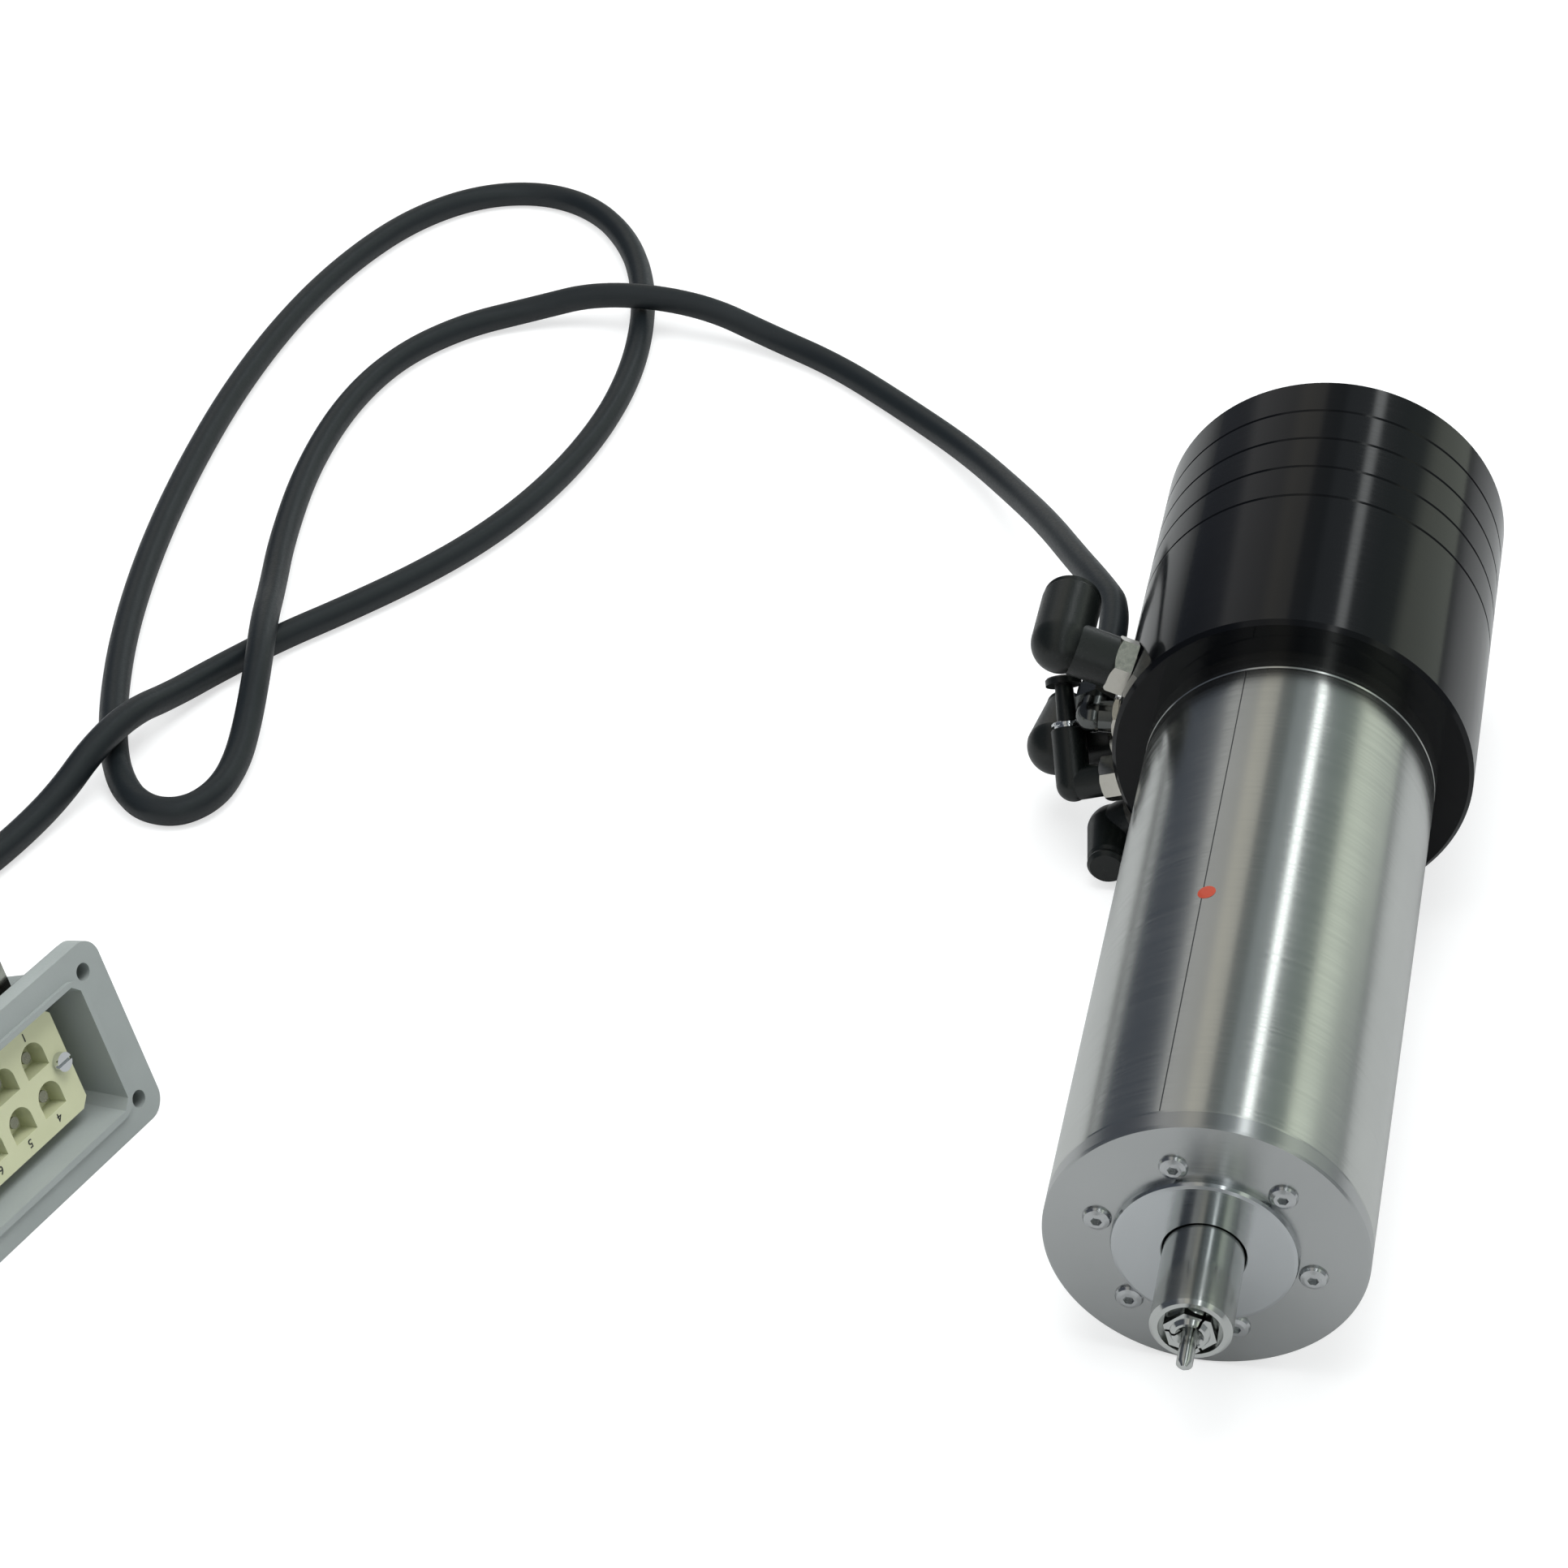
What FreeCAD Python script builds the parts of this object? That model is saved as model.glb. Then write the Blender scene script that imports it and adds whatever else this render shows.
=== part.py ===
import FreeCAD, Part

import math
import os
import re

import Sketcher
from FreeCAD import Placement, Rotation, Vector

# A water-cooled milling spindle that lies on a table, nose down, on the lower edges of its front cap and of its
# black head. Each piece is drawn in the spindle's own axes, with Z from the front face to the rear, X to the side
# that carries the fittings and Y up, and then laid down as a whole. Lengths are millimetres, angles degrees.

SIZES = {
    # Outer shell
    "jacket_radius": 40.0,
    "jacket_wall": 4.0,
    "head_radius": 50.0,
    "shoulder_station": 187.6,
    "cap_thickness": 5.3,
    "collar_thickness": 7.2,
    "edge_chamfer": 0.6,
    "joint_chamfer": 0.35,
    "seat_gap": 0.02,
    "running_gap": 0.05,
    # Nose cover and cap screws
    "boss_radius": 23.0,
    "boss_rise": 2.6,
    "boss_recess": 3.0,
    "nose_gap": 0.3,
    "screw_circle_margin": 4.0,
    "screw_count": 6.0,
    "screw_phase": 10.5,
    "screw_shank_radius": 2.0,
    "screw_head_radius": 3.6,
    "screw_head_rise": 1.5,
    "screw_socket_flats": 2.5,
    "screw_socket_depth": 1.1,
    "screw_length": 14.0,
    # Front bearings
    "bearing_start": 10.0,
    "bearing_width": 12.0,
    "bearing_outer_radius": 23.5,
    "race_land": 2.1,
    "cage_gap": 0.3,
    "cage_inset": 1.0,
    "housing_margin": 3.4,
    # Shaft and collet seat
    "nose_reach": 28.0,
    "nose_radius": 10.0,
    "nose_chamfer": 0.9,
    "flinger_radius": 14.5,
    "flinger_width": 1.6,
    "shaft_radius": 12.5,
    "rotor_seat_step": 0.5,
    "rear_seat_step": 2.5,
    "shaft_tail_step": 1.0,
    "shaft_tail_margin": 2.4,
    "shaft_tail_reach": 8.0,
    "nose_lip": 2.15,
    "nose_recess_depth": 3.6,
    "cone_mouth_step": 1.25,
    "cone_length": 14.0,
    "bar_gap": 0.6,
    "spring_bore": 7.5,
    "spring_chamber_start": 104.0,
    # Collet, tool shank and drawbar
    "collet_flats": 11.6,
    "collet_collar": 3.6,
    "collet_stand": 2.0,
    "collet_tail_end": 10.0,
    "collet_ring_radius": 4.2,
    "collet_mouth_radius": 3.5,
    "collet_mouth_depth": 1.6,
    "collar_stand": 0.9,
    "slit_width": 0.7,
    "slit_reach": 8.0,
    "slit_count": 3.0,
    "shank_radius": 2.0,
    "shank_stickout": 40.0,
    "shank_root": 6.0,
    "shank_tip": 1.2,
    "drawbar_thread_radius": 3.0,
    "drawbar_radius": 4.0,
    "disc_clearance": 2.0,
    "drawbar_head_width": 8.0,
    "drawbar_tail_radius": 6.0,
    "drawbar_stand": 8.0,
    # Disc springs
    "disc_thickness": 2.2,
    "disc_cone": 1.2,
    "disc_gap": 0.05,
    "disc_count": 6.0,
    "disc_travel_gap": 1.4,
    "disc_bore_gap": 0.3,
    # Rotor and stator
    "core_thickness": 12.4,
    "stack_inset": 16.0,
    "stack_margin": 28.0,
    "air_gap": 0.4,
    "sleeve_wall": 6.0,
    "slot_count": 12.0,
    "slot_width": 4.4,
    "core_back": 3.5,
    "slot_opening": 1.6,
    "tooth_tip": 1.4,
    "slot_liner": 0.3,
    "winding_gap": 2.0,
    "winding_inset": 2.0,
    "winding_overhang": 9.0,
    # Cooling sleeve
    "sleeve_gap": 2.0,
    "channel_inset": 14.0,
    "channel_width": 9.0,
    "channel_depth": 3.0,
    "channel_count": 7.0,
    "seal_radius": 0.95,
    "seal_inset": 5.0,
    # Rear bearing
    "rear_bearing_setback": 21.6,
    "rear_bearing_outer": 21.0,
    "rear_holder_lead": 8.0,
    "retainer_width": 4.6,
    # Black head
    "housing_length": 60.2,
    "head_wall_length": 30.4,
    "head_wall_bore": 24.0,
    "head_wall": 9.0,
    "head_chamfer": 0.55,
    "shoulder_chamfer": 1.2,
    "stage_length": 14.3,
    "stage_count": 3.0,
    "stage_wall": 7.0,
    "web_thickness": 4.0,
    "cover_thickness": 15.8,
    "cover_recess_radius": 9.5,
    "cover_recess_depth": 6.0,
    "tie_inset": 4.0,
    "tie_count": 6.0,
    "tie_radius": 1.75,
    "tie_head_radius": 3.0,
    "tie_head_depth": 4.5,
    "tie_socket_flats": 2.5,
    "tie_depth": 21.8,
    # Pistons
    "piston_thickness": 4.5,
    "piston_clearance": 0.08,
    "piston_rest_gap": 0.3,
    "rod_radius": 8.0,
    "rod_gap": 1.05,
    "rod_nose_chamfer": 1.5,
    "piston_seal_radius": 0.9,
    # Encoder and speed sensor
    "encoder_gap": 5.0,
    "encoder_width": 7.0,
    "encoder_radius": 16.0,
    "encoder_tooth_depth": 1.6,
    "encoder_teeth": 24.0,
    "sensor_radius": 3.0,
    "sensor_inset": 2.8,
    "sensor_gap": 0.8,
    "sensor_length": 26.0,
    "sensor_plate": 3.0,
    "sensor_plate_width": 10.0,
    # Fittings, by their angle above the horizontal and their station along the axis
    "port_gap": 0.1,
    "port_depth": 12.0,
    "upper_coolant_angle": 17.0,
    "upper_coolant_setback": 16.9,
    "lower_coolant_angle": -20.0,
    "lower_coolant_setback": 28.4,
    "air_angle": -20.0,
    "air_setback": 8.4,
    "air_roll": -43.0,
    "cable_angle": -3.0,
    "cable_setback": 16.4,
    "drain_leg_gap": 1.1,
    "drain_setback": 13.4,
    "nut_flats": 15.0,
    "nut_thickness": 5.5,
    "nut_chamfer": 0.8,
    "small_nut_flats": 12.0,
    "small_nut_thickness": 5.5,
    "spigot_radius": 4.7,
    "spigot_length": 8.0,
    "elbow_reach": 20.5,
    "elbow_radius": 8.5,
    "elbow_length": 22.5,
    "elbow_rim": 1.2,
    "short_elbow_length": 20.0,
    "short_elbow_reach": 23.5,
    "short_elbow_tip_radius": 6.0,
    "drain_elbow_radius": 8.0,
    "drain_elbow_length": 17.0,
    "air_stem_radius": 4.75,
    "air_reach": 15.0,
    "air_barrel_wall": 1.0,
    "air_barrel_length": 16.0,
    "collar_flange_step": 0.7,
    "collar_wall": 1.0,
    "collar_flange_width": 1.0,
    "collar_press_gap": 0.8,
    "collar_tube_length": 4.0,
    "air_tube_radius": 3.0,
    "plug_depth": 7.0,
    "plug_reach": 31.0,
    "plug_tip_taper": 0.4,
    "plug_head_radius": 5.2,
    "plug_head_width": 2.2,
    # Power cable, its gland on the head and its strain relief
    "cable_radius": 4.3,
    "gland_reach": 7.5,
    "gland_base_thickness": 1.6,
    "gland_radius": 5.6,
    "gland_nut_start": 4.0,
    "gland_nut_end": 10.0,
    "gland_nut_flats": 11.0,
    "relief_end": 32.0,
    "relief_gap": 0.45,
    # Connector on the cable's far end
    "plug_corner_x": -281.0,
    "plug_corner_y": -52.0,
    "plug_heading": -107.9,
    "plug_tilt": 20.0,
    "flange_length": 84.0,
    "flange_height": 55.0,
    "flange_thickness": 6.0,
    "flange_corner": 6.0,
    "cavity_corner": 2.5,
    "flange_hole_radius": 2.4,
    "flange_hole_inset": 7.5,
    "shell_length": 68.0,
    "shell_height": 46.0,
    "shell_depth": 30.0,
    "shell_draft": 9.5,
    "shell_top_draft": 1.5,
    "cavity_draft": 3.5,
    "shell_wall": 3.5,
    "rim_rise": 1.2,
    "rim_width": 1.6,
    "insert_recess": 5.0,
    "insert_depth": 9.0,
    "chamber_floor": 3.0,
    "contact_recess": 2.5,
    "insert_screw_inset": 3.5,
    "insert_length": 46.0,
    "insert_height": 31.0,
    "chamber_radius": 4.2,
    "chamber_pitch": 12.0,
    "chamber_row": 12.0,
    "contact_radius": 1.6,
    "insert_screw_radius": 1.5,
    "insert_screw_head": 2.6,
    "gasket_thickness": 1.0,
    "boss_collar_radius": 12.5,
    "cable_boss_rise": 2.0,
    "cable_entry_along": 30.0,
    "cable_entry_depth": 20.0,
    "end_nut_flats": 22.0,
    "end_nut_height": 9.0,
    "end_dome_radius": 9.5,
    "end_dome_height": 7.0,
}

# Sizes that follow from others, so that what fits together stays together when one of them changes
FOLLOWING_SIZES = {
    "jacket_bore": "jacket_radius - jacket_wall",
    "nose_bore": "nose_radius + nose_gap",
    "nose_recess_radius": "nose_radius - nose_lip",
    "cone_mouth_radius": "nose_recess_radius - cone_mouth_step",
    "screw_circle_radius": "boss_radius + screw_circle_margin",
    "bearing_bore_radius": "shaft_radius",
    "ball_circle_radius": "(bearing_bore_radius + bearing_outer_radius) / 2",
    "rotor_seat_radius": "shaft_radius - rotor_seat_step",
    "rear_seat_radius": "shaft_radius - rear_seat_step",
    "shaft_tail_radius": "rear_seat_radius - shaft_tail_step",
    "rear_ball_circle": "(rear_seat_radius + rear_bearing_outer) / 2",
    "front_housing_end": "bearing_start + bearing_width * 2 + retainer_width + housing_margin",
    "rear_bearing_start": "shoulder_station - rear_bearing_setback",
    "rear_holder_start": "rear_bearing_start - rear_holder_lead",
    "sleeve_start": "front_housing_end + sleeve_gap",
    "sleeve_end": "rear_holder_start - sleeve_gap",
    "channel_start": "sleeve_start + channel_inset",
    "channel_pitch": "(sleeve_end - channel_start - channel_width - seal_inset) / (channel_count - 1)",
    "stack_start": "sleeve_start + stack_inset",
    "stack_length": "rear_holder_start - stack_start - stack_margin",
    "stator_radius": "jacket_bore - sleeve_wall",
    "rotor_radius": "stator_radius - core_thickness",
    "stator_bore": "rotor_radius + air_gap",
    "slot_bottom": "stator_radius - core_back",
    "bar_radius": "slot_width / 2 - slot_liner",
    "winding_inner": "stator_bore + winding_gap",
    "winding_outer": "stator_radius - winding_inset",
    "shaft_tail_start": "rear_bearing_start + bearing_width + retainer_width + shaft_tail_margin",
    "encoder_start": "shaft_tail_start + encoder_gap",
    "shaft_end": "encoder_start + encoder_width + shaft_tail_reach",
    "drawbar_end": "shaft_end + drawbar_stand",
    "bar_bore": "drawbar_radius + bar_gap",
    "disc_bore": "drawbar_radius + disc_bore_gap",
    "disc_stack_length": "(disc_thickness + disc_cone + disc_gap) * disc_count",
    "drawbar_head_start": "spring_chamber_start + (disc_travel_gap + disc_stack_length) * 2 + disc_clearance",
    "sensor_circle": "encoder_radius - sensor_inset",
    "head_wall_end": "shoulder_station + head_wall_length",
    "cylinder_housing_end": "shoulder_station + housing_length",
    "head_cavity_radius": "head_radius - head_wall",
    "stage_bore": "head_radius - stage_wall",
    "tie_circle_radius": "head_radius - tie_inset",
    "tie_root": "cylinder_housing_end - tie_depth",
    "upper_coolant_station": "shoulder_station + upper_coolant_setback",
    "lower_coolant_station": "shoulder_station + lower_coolant_setback",
    "air_station": "shoulder_station + air_setback",
    "cable_station": "shoulder_station + cable_setback",
    "drain_station": "shoulder_station + drain_setback",
    "drain_reach": "nut_thickness + drain_elbow_radius + drain_leg_gap",
    "lying_slope": "(head_radius - jacket_radius) / shoulder_station",
    "drain_drop": "jacket_radius + (drain_station - drain_elbow_length) * lying_slope - drain_elbow_radius",
    "drain_angle": "-asin(drain_drop / (head_radius + drain_reach)) / 1deg",
    "port_radius": "spigot_radius + port_gap",
    "stem_radius": "nut_flats / 2",
    "collar_tube_radius": "air_tube_radius + collar_wall",
    "collar_flange_radius": "collar_tube_radius + collar_flange_step",
    "air_barrel_radius": "collar_tube_radius + air_barrel_wall",
    "plug_tip_radius": "air_tube_radius - plug_tip_taper",
    "relief_root_radius": "gland_nut_flats / 2",
    "relief_tip_radius": "cable_radius + relief_gap",
}

# The free cable, from the strain relief on the head to the gland on the connector: each point's place on the
# table and how far the cable's underside lies above the table there. It passes over itself three times.
CABLE_ROUTE = [
    (-57.42, 161.0, 46.2),
    (-65.5, 179.5, 42.0),
    (-76.0, 204.0, 34.5),
    (-89.0, 237.0, 24.0),
    (-105.0, 272.5, 12.0),
    (-127.0, 310.0, 2.5),
    (-154.0, 337.5, 0.0),
    (-180.0, 359.0, 0.0),
    (-205.0, 371.0, 1.4),
    (-232.0, 376.0, 9.1),
    (-267.0, 377.0, 9.1),
    (-292.0, 372.0, 1.8),
    (-313.0, 359.0, 0.0),
    (-329.0, 334.0, 0.0),
    (-337.0, 301.0, 0.0),
    (-338.0, 259.0, 0.0),
    (-333.0, 216.0, 0.0),
    (-326.0, 184.0, 2.4),
    (-319.5, 157.0, 9.1),
    (-314.0, 134.0, 9.1),
    (-311.0, 113.0, 2.4),
    (-309.0, 95.0, 0.0),
    (-310.0, 79.0, 0.0),
    (-317.0, 68.5, 0.0),
    (-328.0, 68.0, 0.0),
    (-338.0, 77.0, 0.0),
    (-347.0, 94.0, 0.0),
    (-356.0, 120.0, 0.0),
    (-365.0, 156.0, 0.0),
    (-372.0, 201.0, 0.0),
    (-376.0, 250.0, 0.0),
    (-377.0, 304.0, 0.0),
    (-373.0, 356.0, 0.0),
    (-364.0, 398.0, 0.0),
    (-351.0, 431.0, 0.0),
    (-332.0, 453.0, 0.0),
    (-309.0, 460.0, 0.0),
    (-287.0, 451.0, 0.0),
    (-268.5, 427.0, 0.0),
    (-256.0, 394.0, 0.0),
    (-249.0, 355.0, 0.0),
    (-248.0, 319.0, 0.0),
    (-252.0, 285.0, 0.0),
    (-260.0, 254.0, 0.0),
    (-271.0, 227.0, 0.0),
    (-285.0, 203.0, 0.0),
    (-301.0, 181.0, 0.0),
    (-317.0, 161.0, 0.0),
    (-330.0, 141.0, 0.0),
    (-338.0, 121.0, 2.8),
    (-343.0, 102.0, 9.1),
    (-348.0, 83.0, 9.1),
    (-353.5, 66.0, 2.4),
    (-360.0, 46.0, 0.0),
    (-367.0, 25.0, 0.3),
    (-374.0, 7.0, 3.0),
    (-381.0, -11.0, 10.5),
    (-388.0, -30.0, 25.0),
    (-392.0, -49.0, 47.0),
    (-390.0, -58.5, 72.0),
    (-377.2, -61.5, 88.0),
    (-357.5, -62.9, 91.6),
    (-340.2, -64.4, 81.4),
]

document = FreeCAD.newDocument("WaterCooledSpindle")
sheet = document.addObject("Spreadsheet::Sheet", "dims")
parts = {}


def fill_sheet():
    """Write every driving size to the sheet, named by its alias, and below them the sizes that follow."""
    for row, (alias, size) in enumerate((SIZES | FOLLOWING_SIZES).items(), start=1):
        sheet.set(f"A{row}", alias)
        sheet.set(f"B{row}", f"={size}")
        sheet.setAlias(f"B{row}", alias)
        document.recompute([sheet])


def bound(text):
    """The expression with each size's name led by the sheet's name."""
    known = SIZES | FOLLOWING_SIZES
    return re.sub(r"[a-z_]+", lambda word: f"dims.{word[0]}" if word[0] in known else word[0], text)


def number(text):
    """The value of an expression of sizes."""
    return float(sheet.evalExpression(bound(text)))


def new_body(label, place):
    """A body for one sub-part, with its place in the part's frame."""
    body = document.addObject("PartDesign::Body", label)
    body.Label = label
    body.AllowCompound = True
    body.Placement = place
    parts[label] = body
    return body


def new_feature(label, shape, place=None):
    """A sub-part whose shape is worked out from the sheet's sizes."""
    feature = document.addObject("Part::Feature", label)
    feature.Label = label
    feature.Shape = shape
    if place is not None:
        feature.Placement = place
    parts[label] = feature
    return feature


def plane_sketch(body, name, plane="XZ_Plane", turn="0", shift=("0", "0", "0")):
    """A sketch on one of the body's own planes, turned about the sketch's upright axis and shifted."""
    sketch = body.newObject("Sketcher::SketchObject", name)
    support = next(item for item in body.Origin.OriginFeatures if item.Role == plane)
    sketch.AttachmentSupport = [(support, "")]
    sketch.MapMode = "FlatFace"
    base = Vector(*[number(text) for text in shift])
    sketch.AttachmentOffset = Placement(base, Rotation(Vector(0, 1, 0), number(turn)))
    if turn != "0":
        sketch.setExpression("AttachmentOffset.Rotation.Angle", f"({bound(turn)}) * 1 deg")
    for axis, text in zip("xyz", shift):
        if text != "0":
            sketch.setExpression(f"AttachmentOffset.Base.{axis}", bound(text))
    return sketch


def bind(sketch, constraint, text):
    """Tie one sketch constraint to the sheet."""
    if re.search(r"[a-z]", text):
        sketch.setExpression(f"Constraints[{constraint}]", bound(text))


def arc_between(start, end, radius, side):
    """The short arc from start to end, with its centre on the left of the way for side 1, else on the right."""
    chord = end - start
    middle = (start + end) * 0.5
    left = Vector(-chord.y, chord.x, 0).normalize()
    height = math.sqrt(max(radius**2 - (chord.Length / 2) ** 2, 0.0))
    centre = middle + left * (height * side)
    crown = centre - left * (radius * side)
    return Part.Arc(start, crown, end)


def draw(sketch, points):
    """Draw a closed outline: (x, y) starts a line to the next point, (x, y, radius, side) an arc."""
    count = len(points)
    spots = [Vector(number(point[0]), number(point[1]), 0) for point in points]
    first = sketch.GeometryCount
    for index, point in enumerate(points):
        start, end = spots[index], spots[(index + 1) % count]
        if len(point) == 2:
            sketch.addGeometry(Part.LineSegment(start, end), False)
        else:
            sketch.addGeometry(arc_between(start, end, number(point[2]), point[3]), False)
    starts = []
    for index, spot in enumerate(spots):
        near = sketch.getPoint(first + index, 1).distanceToPoint(spot) < 1e-6
        starts.append(1 if near else 2)
    for index, point in enumerate(points):
        following = (index + 1) % count
        edge = first + index
        joint = Sketcher.Constraint("Coincident", edge, 3 - starts[index], first + following, starts[following])
        sketch.addConstraint(joint)
        for kind, text in (("DistanceX", point[0]), ("DistanceY", point[1])):
            constraint = Sketcher.Constraint(kind, -1, 1, edge, starts[index], number(text))
            bind(sketch, sketch.addConstraint(constraint), text)
        if len(point) == 4:
            constraint = Sketcher.Constraint("Radius", edge, number(point[2]))
            bind(sketch, sketch.addConstraint(constraint), point[2])
    return sketch


def draw_circle(sketch, radius, x="0", y="0"):
    """Draw a circle about (x, y)."""
    centre = Vector(number(x), number(y), 0)
    edge = sketch.addGeometry(Part.Circle(centre, Vector(0, 0, 1), number(radius)), False)
    for kind, text in (("DistanceX", x), ("DistanceY", y)):
        constraint = Sketcher.Constraint(kind, -1, 1, edge, 3, number(text))
        bind(sketch, sketch.addConstraint(constraint), text)
    bind(sketch, sketch.addConstraint(Sketcher.Constraint("Radius", edge, number(radius))), radius)
    return sketch


def hexagon(flats, x="0", turn=0.0):
    """The corners of a hexagon by its width across flats, about (x, 0)."""
    corners = []
    for step in range(6):
        angle = math.radians(60 * step + turn)
        cosine, sine = round(math.cos(angle), 9), round(math.sin(angle), 9)
        corners.append((f"{x} + {flats} / sqrt(3) * {cosine}", f"{flats} / sqrt(3) * {sine}"))
    return corners


def rectangle(left, right, low, high):
    """The corners of a rectangle."""
    return [(left, low), (right, low), (right, high), (left, high)]


def revolve(body, name, points, cut=False, axis="V_Axis", **where):
    """Turn an outline about its sketch's axis, to add or to cut."""
    sketch = draw(plane_sketch(body, f"{name}_outline", **where), points)
    kind = "PartDesign::Groove" if cut else "PartDesign::Revolution"
    feature = body.newObject(kind, name)
    feature.Profile = sketch
    feature.ReferenceAxis = (sketch, [axis])
    feature.Angle = 360
    return feature


def extrude(body, name, sketch, length, cut=False):
    """Pad a sketch along its normal, or pocket along it."""
    feature = body.newObject("PartDesign::Pocket" if cut else "PartDesign::Pad", name)
    feature.Profile = sketch
    feature.Length = number(length)
    feature.setExpression("Length", bound(length))
    feature.Reversed = cut
    return feature


def around(body, name, features, count, axis="Z_Axis"):
    """Repeat features round one of the body's axes."""
    pattern = body.newObject("PartDesign::PolarPattern", name)
    pattern.Originals = features
    line = next(item for item in body.Origin.OriginFeatures if item.Role == axis)
    pattern.Axis = (line, [""])
    pattern.Angle = 360
    pattern.Occurrences = int(number(count))
    pattern.setExpression("Occurrences", bound(count))
    body.Tip = pattern
    return pattern


def along(body, name, features, count, length, axis="Z_Axis"):
    """Repeat features in a row along one of the body's axes, over a whole length."""
    pattern = body.newObject("PartDesign::LinearPattern", name)
    pattern.Originals = features
    line = next(item for item in body.Origin.OriginFeatures if item.Role == axis)
    pattern.Direction = (line, [""])
    pattern.Length = number(length)
    pattern.setExpression("Length", bound(length))
    pattern.Occurrences = int(number(count))
    pattern.setExpression("Occurrences", bound(count))
    body.Tip = pattern
    return pattern


def turned_part(label, points, place):
    """A body that is one turned outline."""
    body = new_body(label, place)
    revolve(body, f"{label}_turning", points)
    return body


fill_sheet()

# How the spindle lies: the jacket's front edge and the head's front edge both rest on the table
tilt = math.degrees(math.atan(number("lying_slope")))
sine, cosine = math.sin(math.radians(tilt)), math.cos(math.radians(tilt))
clamp_middle = number("shoulder_station") / 2
spindle_turn = Rotation(Vector(-1, 0, 0), Vector(0, -sine, cosine), Vector(0, cosine, sine), "ZXY")
LYING = Placement(spindle_turn.multVec(Vector(0, 0, -clamp_middle)), spindle_turn)
table_height = -(number("jacket_radius") * cosine + clamp_middle * sine)


def port_place(angle, station, roll="0"):
    """The place of a fitting on the head: its Z points out of the head and its X to the rear, before the roll."""
    turn = math.radians(number(angle))
    outward = Vector(math.cos(turn), math.sin(turn), 0)
    rearward = Vector(0, 0, 1)
    base = outward * number("head_radius") + rearward * number(station)
    frame = Placement(base, Rotation(rearward, outward.cross(rearward), outward, "ZXY"))
    return LYING.multiply(frame).multiply(Placement(Vector(), Rotation(Vector(0, 0, 1), number(roll))))


# Front cap, nose cover and cap screws
front_cap = turned_part(
    "front_cap",
    [
        ("nose_bore + 2", "boss_recess"),
        ("boss_radius + seat_gap", "boss_recess"),
        ("boss_radius + seat_gap", "0"),
        ("jacket_radius - edge_chamfer", "0"),
        ("jacket_radius", "edge_chamfer"),
        ("jacket_radius", "cap_thickness - joint_chamfer"),
        ("jacket_radius - joint_chamfer", "cap_thickness"),
        ("nose_bore + 2", "cap_thickness"),
    ],
    LYING,
)
SCREW_X = "screw_circle_radius * cos(screw_phase * 1 deg)"
SCREW_Y = "screw_circle_radius * sin(screw_phase * 1 deg)"
hole = plane_sketch(front_cap, "cap_hole_outline", "XY_Plane")
draw_circle(hole, "screw_shank_radius + 0.15", SCREW_X, SCREW_Y)
around(front_cap, "cap_holes", [extrude(front_cap, "cap_hole", hole, "cap_thickness", cut=True)], "screw_count")

nose_cover = turned_part(
    "nose_cover",
    [
        ("nose_bore", "edge_chamfer / 2 - boss_rise"),
        ("nose_bore + edge_chamfer / 2", "-boss_rise"),
        ("boss_radius - edge_chamfer * 2", "-boss_rise"),
        ("boss_radius - edge_chamfer * 0.6", "edge_chamfer * 0.6 - boss_rise"),
        ("boss_radius", "edge_chamfer * 2 - boss_rise"),
        ("boss_radius", "boss_recess"),
        ("nose_bore", "boss_recess"),
    ],
    LYING,
)


def screw_set(label, circle_x, circle_y, outline, socket_flats, socket_level, socket_depth, count):
    """Like screws round the spindle's axis: one turned screw with a hexagon socket, repeated."""
    body = new_body(label, LYING)
    screw = revolve(body, f"{label}_turning", outline, shift=(circle_x, "0", f"-({circle_y})"))
    socket = plane_sketch(body, f"{label}_socket_outline", "XY_Plane", shift=(circle_x, circle_y, socket_level))
    draw(socket, hexagon(socket_flats, "0"))
    pocket = extrude(body, f"{label}_socket", socket, socket_depth, cut=True)
    around(body, f"{label}_circle", [screw, pocket], count)
    return body


screw_set(
    "cap_screws",
    SCREW_X,
    SCREW_Y,
    [
        ("0", "-screw_head_rise"),
        ("screw_head_radius * 0.6", "-screw_head_rise"),
        ("screw_head_radius * 0.88", "-screw_head_rise * 0.72"),
        ("screw_head_radius", "-screw_head_rise * 0.3"),
        ("screw_head_radius", "0"),
        ("screw_shank_radius", "0"),
        ("screw_shank_radius", "screw_length"),
        ("0", "screw_length"),
    ],
    "screw_socket_flats",
    "-screw_head_rise",
    "screw_socket_depth",
    "screw_count",
)

# Front bearing housing, a spigot in the jacket's mouth
front_housing = turned_part(
    "front_bearing_housing",
    [
        ("nose_bore + 2", "cap_thickness"),
        ("jacket_bore - seat_gap", "cap_thickness"),
        ("jacket_bore - seat_gap", "front_housing_end"),
        ("bearing_outer_radius + seat_gap", "front_housing_end"),
        ("bearing_outer_radius + seat_gap", "bearing_start"),
        ("bearing_outer_radius - 3.5", "bearing_start"),
        ("bearing_outer_radius - 3.5", "bearing_start - 2.4"),
        ("nose_bore + 2", "bearing_start - 2.4"),
    ],
    LYING,
)
hole = plane_sketch(front_housing, "tapped_hole_outline", "XY_Plane", shift=("0", "0", "cap_thickness"))
draw_circle(hole, "screw_shank_radius + seat_gap", SCREW_X, SCREW_Y)
tapped = extrude(front_housing, "tapped_hole", hole, "screw_length - cap_thickness + 1", cut=True)
around(front_housing, "tapped_holes", [tapped], "screw_count")

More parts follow.
